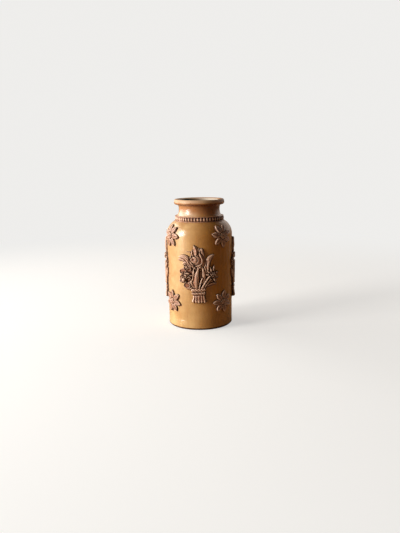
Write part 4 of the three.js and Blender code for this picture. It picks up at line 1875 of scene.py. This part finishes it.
@dataclass
class Spray(Drawing):
    """Narrow spray at the jar's side: a bud over a rose, two open flowers, leaves and tied stems."""

    tall: float = 77.0
    relief: float = 4.3
    low: Point = (-21, -5)
    high: Point = (21, 106)

    def leaves(self) -> None:
        """Lays the web of clay, the leaves and the stems."""
        vein, stem = Section.VEIN, Outline.STEM
        low = (0.26, 0.22)
        self.field.put(
            Blade((0, 14), (0, 48), (0, 84), 13, low),
            Blade((0, 15.5), (0, 10), (0, 5), 10, low, stem),
            Blade((-2, 33), (-12, 35), (-16.4, 51), 7.0, (0.75, 0.5), section=vein, bow=0.15),
            Blade((2, 35), (12, 37), (16, 53), 7.0, (0.75, 0.5), section=vein, bow=0.15),
            Blade((-2.4, 15), (-4.6, 40), (-9.4, 56), 3.4, (0.72, 0.7), stem),
            Blade((2.4, 15), (4.8, 40), (9.2, 58), 3.4, (0.72, 0.7), stem),
            Blade((-2, 17), (-9, 34), (-3.4, 54), 6.0, (0.82, 0.7), section=vein, bow=0.1),
            Blade((2, 17), (9, 38), (3.6, 58), 6.0, (0.82, 0.7), section=vein, bow=0.1),
            Blade((0, 14), (1.4, 40), (0, 66), 4.2, (0.9, 0.95), stem),
        )

    def crown(self) -> None:
        """Lays the closed bud at the top and the rose under it, whose heart is rolled."""
        rose = (0, 70)
        keel, stem = Section.KEEL, Outline.STEM
        self.field.put(
            Blade((0.5, 78), (3, 91), (-0.5, 101), 8.2, (0.85, 0.65), section=keel),
            Blade((-1.5, 77), (-6.4, 86), (-3.8, 94), 4.6, (0.7, 0.5), Outline.RAY, keel),
            Blade((1.8, 77), (6.6, 87), (4.2, 95), 4.6, (0.7, 0.5), Outline.RAY, keel),
        )
        self.field.dome(rose, 7.4, 0.5)
        self.field.whorl(rose, 5, 1.0, 9.4, 8, petal(8.8, (0.6, 0.78)), sway=1.2, uneven=0.35)
        self.field.dome(rose, 4.9, 0.98)
        self.field.put(
            Blade((-3.4, 73.4), (3.6, 76.4), (3.6, 70), 2.4, (0.9, 1.08), stem),
            Blade((3.6, 70), (3.0, 64.8), (-2.6, 66.4), 2.4, (1.08, 0.9), stem),
            moat=0.5,
        )
        self.field.pit((-0.8, 70.8), 1.4, 1.8)

    def side_flowers(self) -> None:
        """Lays an open flower on each side, with cupped petals and a button."""
        for centre in ((-9.5, 60.5), (9.2, 62)):
            self.field.dome(centre, 5.6, 0.42)
            self.field.whorl(centre, 5, 0.6, 7.2, 18, petal(6.4, (0.55, 0.7)), sway=0.6, uneven=0.3)
            self.field.dome(centre, 2.4, 0.9)

    def drawn(self) -> Relief:
        """Draws the whole spray.

        Returns:
            Its height field.
        """
        strand = 3.8
        self.leaves()
        self.crown()
        self.side_flowers()
        self.stalks((0, 3, 1, 2), cord=5.8, foot=7.8, width=4.6)
        self.field.cord((-6.2, 13.4), (5.8, 13.6), 2.5, 0.82, strand)
        self.field.cord((-6.4, 18.4), (6.2, 18.8), 2.6, 0.88, strand)
        return self.field


@dataclass(frozen=True)
class Posies:
    """Posies in front and behind and sprays at the sides, each stuck on by hand at its own height.

    Attributes:
        path: The jar's wall.
        first_azimuth: Azimuth of the front one.
        front_foot: Height of the front posy's cut stalks.
        right_foot: Height of the right spray's.
        back_foot: Height of the back posy's.
        left_foot: Height of the left spray's.
    """

    path: WallPath
    first_azimuth: float = -2.4
    front_foot: float = 36.0
    right_foot: float = 34.5
    back_foot: float = 36.4
    left_foot: float = 34.3

    def build(self, material: bpy.types.Material) -> None:
        """Builds and places the posies and the sprays.

        Args:
            material: The sprigs' glaze.
        """
        posy, spray = Posy().drawn(), Spray().drawn()
        places = (
            ("posy_front", posy, self.front_foot),
            ("posy_right", spray, self.right_foot),
            ("posy_back", posy, self.back_foot),
            ("posy_left", spray, self.left_foot),
        )
        for index, (node, relief, level) in enumerate(places):
            azimuth = self.first_azimuth + index * 360 / len(places)
            piece = relief.mesh(f"{node}_sprig", self.path, azimuth, level, index)
            place_piece(piece, node, material)


# Rosettes


@dataclass(frozen=True)
class Rosettes:
    """Eight small flowers, two rows of four between the posies, turned by eye.

    Attributes:
        path: The jar's wall.
        reach: Length of a petal from the middle.
        petals: Number of petals.
        petal_width: Width of a petal.
        relief: Height of a petal over the wall.
        button_radius: Radius of the button in the middle.
        step: Distance between two points of the grid.
        lower_level: Height of the lower row's middles.
        upper_raise: Height of the upper row's middles over the shoulder's start.
    """

    path: WallPath
    reach: float = 14.3
    petals: int = 7
    petal_width: float = 6.5
    relief: float = 3.1
    button_radius: float = 3.9
    step: float = 0.2
    lower_level: float = 34.5
    upper_raise: float = 1.0

    def settings(self) -> list[tuple[str, float, float, float]]:
        """Places of the rosettes.

        Returns:
            Node, azimuth, level and turn of each, the turn in degrees clockwise from up.
        """
        upper = self.path.shoulder_start + self.upper_raise
        lower = self.lower_level
        return [
            ("rosette_upper_front_right", 40.5, upper, 20),
            ("rosette_upper_back_right", 131, upper, 33),
            ("rosette_upper_back_left", -143, upper, 4),
            ("rosette_upper_front_left", -57.5, upper, 42),
            ("rosette_lower_front_right", 41.5, lower, 12),
            ("rosette_lower_back_right", 129, lower, 45),
            ("rosette_lower_back_left", -141, lower, 26),
            ("rosette_lower_front_left", -55, lower, -3),
        ]

    def drawn(self, turn: float) -> Relief:
        """Draws one rosette: pointed petals with a groove down each, and a button with small dimples.

        Args:
            turn: Angle of its first petal, in degrees clockwise from up.

        Returns:
            Its height field.
        """
        margin, dimples, dimple_ring, dimple_radius, middle_dimple, dimple_depth = 1.6, 8, 0.6, 0.5, 0.6, 0.9
        middle = (0.0, 0.0)
        side = self.reach + margin
        relief = Relief((-side, -side), (side, side), self.step, self.relief)
        pattern = petal(self.petal_width, (0.9, 0.84), Outline.SPADE, Section.SLAB, bow=0.1)
        relief.whorl(middle, self.petals, 0.0, self.reach, turn, pattern, sway=0.4, uneven=0.12)
        relief.dome(middle, self.button_radius, 1.2, base=0.7, moat=1.2)
        for index in range(dimples):
            angle = math.radians(turn) + 2 * math.pi * index / dimples
            relief.pit(polar(middle, angle, dimple_ring * self.button_radius), dimple_radius, dimple_depth)
        relief.pit(middle, middle_dimple, dimple_depth)
        return relief

    def build(self, material: bpy.types.Material) -> None:
        """Builds and places the rosettes.

        Args:
            material: The sprigs' glaze.
        """
        for index, (node, azimuth, level, turn) in enumerate(self.settings()):
            piece = self.drawn(turn).mesh(f"{node}_sprig", self.path, azimuth, level, 10 + index)
            place_piece(piece, node, material)


# Studio


@dataclass(frozen=True)
class Lamp:
    """Rectangular lamp on a sphere round the jar, which faces the jar's middle.

    Attributes:
        name: Its name.
        azimuth: Its azimuth, in degrees.
        elevation: Its elevation, in degrees.
        distance: Its distance, in metres.
        size: Its width and height, in metres.
        power: Its power, in watts.
        colour: Its colour.
    """

    name: str
    azimuth: float
    elevation: float
    distance: float
    size: Point
    power: float
    colour: Colour

    def build(self) -> None:
        """Makes the lamp and puts it in its place."""
        jar_middle = Vector((0, 0, 0.08))
        light = bpy.data.lights.new(self.name, "AREA")
        light.shape = "RECTANGLE"
        light.size, light.size_y = self.size
        light.energy = self.power
        light.color = self.colour
        lamp = bpy.data.objects.new(self.name, light)
        turn, rise = math.radians(self.azimuth), math.radians(self.elevation)
        away = Vector((math.sin(turn) * math.cos(rise), -math.cos(turn) * math.cos(rise), math.sin(rise)))
        lamp.location = jar_middle + away * self.distance
        lamp.rotation_euler = (-away).to_track_quat("-Z", "Y").to_euler()
        bpy.context.scene.collection.objects.link(lamp)


@dataclass(frozen=True)
class Studio:
    """Plain pale floor and backdrop, a tall soft window of light on the left, and weak fill.

    Attributes:
        pale: Colour of the floor and backdrop for the camera.
        bounce: Warmer colour of the light that the floor throws on the jar.
        light: Colour of the light that the floor and the world add.
        fill: Strength of the world's light.
        near: Distance from the jar within which the floor shows its own colour, in metres.
        far: Distance beyond which it shows even light alone.
        glow: What the floor adds to its own light near the jar, where the camera sees it.
        far_glow: Even light of the floor and backdrop away from the jar, where the camera sees them.
        low_gloss: Light of the floor in the jar's gloss.
        high_gloss: Light of the backdrop in the jar's gloss, from its middle upwards.
        gloss_height: Height of that middle, in metres.
        window: The window on the left.
        pale_wall: A pale wall, on the left too, that throws light back.
        back_wall: The weak light behind on the right.
    """

    pale: Colour = (0.5, 0.49, 0.47)
    bounce: Colour = (0.48, 0.31, 0.18)
    light: Colour = (1.0, 0.99, 0.97)
    fill: float = 0.05
    near: float = 0.2
    far: float = 0.9
    glow: float = 0.52
    far_glow: float = 0.86
    low_gloss: float = 0.025
    high_gloss: float = 0.24
    gloss_height: float = 0.5
    window: Lamp = Lamp("window", -66.0, 14.5, 1.3, (0.44, 0.75), 21.0, (1.0, 0.98, 0.95))
    pale_wall: Lamp = Lamp("pale_wall", -108.0, 20.0, 1.5, (1.8, 1.2), 26.0, (1.0, 0.97, 0.93))
    back_wall: Lamp = Lamp("back_wall", 138.0, 20.0, 1.5, (1.8, 1.2), 6.0, (1.0, 0.97, 0.93))

    def sweep(self) -> bpy.types.Object:
        """Builds the floor, which bends up into a backdrop behind the jar.

        Returns:
            Its object.
        """
        front, back, bend, tall, half_width = -2.5, 1.6, 0.6, 2.6, 3.0
        turn = np.radians(np.linspace(-90, 0, 17))
        depth = np.concatenate([[front], back - bend + bend * np.cos(turn), [back]])
        height = np.concatenate([[0.0], bend + bend * np.sin(turn), [tall]])
        count = len(depth)
        left = np.column_stack([np.full(count, -half_width), depth, height])
        right = left * np.array([-1, 1, 1])
        index = np.arange(count - 1)
        quads = np.column_stack([index, index + count, index + count + 1, index + 1])
        return mesh_object("studio_sweep", np.vstack([left, right]) / MM, [quads], {})

    def material(self) -> bpy.types.Material:
        """Makes the floor's material, which looks pale to the camera and throws warmer light.

        Returns:
            The material.
        """
        material, graph, place = Glazes.begin("studio_pale")
        seen = graph.add("LightPath")
        camera = seen.outputs["Is Camera Ray"]
        height = graph.add("SeparateXYZ", {0: place}).outputs["Z"]
        away = graph.add("VectorMath", {0: place}, operation="LENGTH").outputs["Value"]
        own = graph.blend(graph.ramp(away, self.near, self.far), self.pale, (0.0, 0.0, 0.0))
        shown = graph.times(camera, graph.ramp(away, self.near, self.far, self.glow, self.far_glow))
        gloss = graph.ramp(height, 0.0, self.gloss_height, self.low_gloss, self.high_gloss)
        shader = graph.add("BsdfPrincipled", {
            "Base Color": graph.blend(camera, self.bounce, own),
            "Roughness": 0.9,
            "Specular IOR Level": 0.0,
            "Emission Color": (*self.light, 1.0),
            "Emission Strength": graph.largest(shown, graph.times(seen.outputs["Is Glossy Ray"], gloss)),
        })
        Glazes.end(graph, shader)
        return material

    def world(self) -> None:
        """Sets a weak even fill, and the backdrop's light where the camera sees past the floor."""
        world = bpy.data.worlds.new("studio_world")
        bpy.context.scene.world = world
        world.use_nodes = True
        world.node_tree.nodes.clear()
        graph = Graph(world.node_tree)
        seen = graph.add("LightPath").outputs["Is Camera Ray"]
        strength = graph.add("MapRange", {"Value": seen, "To Min": self.fill, "To Max": self.far_glow})
        sky = graph.add("Background", {"Color": (*self.light, 1.0), "Strength": strength.outputs[0]})
        graph.join(sky.outputs[0], graph.add("OutputWorld").inputs["Surface"])

    def build(self) -> None:
        """Builds the floor, the lamps and the world."""
        sweep = self.sweep()
        sweep.data.materials.append(self.material())
        for lamp in (self.window, self.pale_wall, self.back_wall):
            lamp.build()
        self.world()


@dataclass(frozen=True)
class Photographer:
    """Camera at the photograph's angle, for a frame of 400 by 533 pixels.

    Attributes:
        place: Its place, in metres.
        tilt_down: Angle that it looks down, in degrees.
        roll: Its roll, in degrees.
        focal_pixels: Focal length in pixels of the frame.
        frame_height: Height of the frame in pixels, its long side.
        sensor: Length of the sensor's long side, in millimetres.
    """

    place: tuple[float, float, float] = (0.0, -0.660, 0.2035)
    tilt_down: float = 11.2
    roll: float = -0.8
    focal_pixels: float = 520.0
    frame_height: float = 533.0
    sensor: float = 36.0

    def build(self) -> None:
        """Makes the camera and sets it as the scene's."""
        camera = bpy.data.cameras.new("photo_camera")
        camera.sensor_width = self.sensor
        camera.lens = self.focal_pixels / self.frame_height * self.sensor
        holder = bpy.data.objects.new("photo_camera", camera)
        tilt = Matrix.Rotation(math.radians(90 - self.tilt_down), 4, "X")
        roll = Matrix.Rotation(math.radians(self.roll), 4, "Z")
        holder.matrix_world = Matrix.Translation(self.place) @ tilt @ roll
        bpy.context.scene.collection.objects.link(holder)
        bpy.context.scene.camera = holder


def main() -> None:
    """Builds the jar's pieces, the studio and the camera."""
    logging.basicConfig(level=logging.INFO, format="%(message)s")
    sizes = JarSizes.from_frame()
    path = WallPath(sizes)
    glazes = Glazes()
    body_glaze = BodyGlaze().material(glazes)
    sprig_glaze = SprigGlaze().material(glazes)

    Photographer().build()
    Studio().build()
    place_piece(JarBody(path).build(), "jar_body", body_glaze)
    place_piece(BeadCollar(sizes).build(), "bead_collar", sprig_glaze)
    Posies(path).build(sprig_glaze)
    Rosettes(path).build(sprig_glaze)
    bpy.context.scene.view_settings.view_transform = "Standard"


if __name__ == "__main__":
    main()
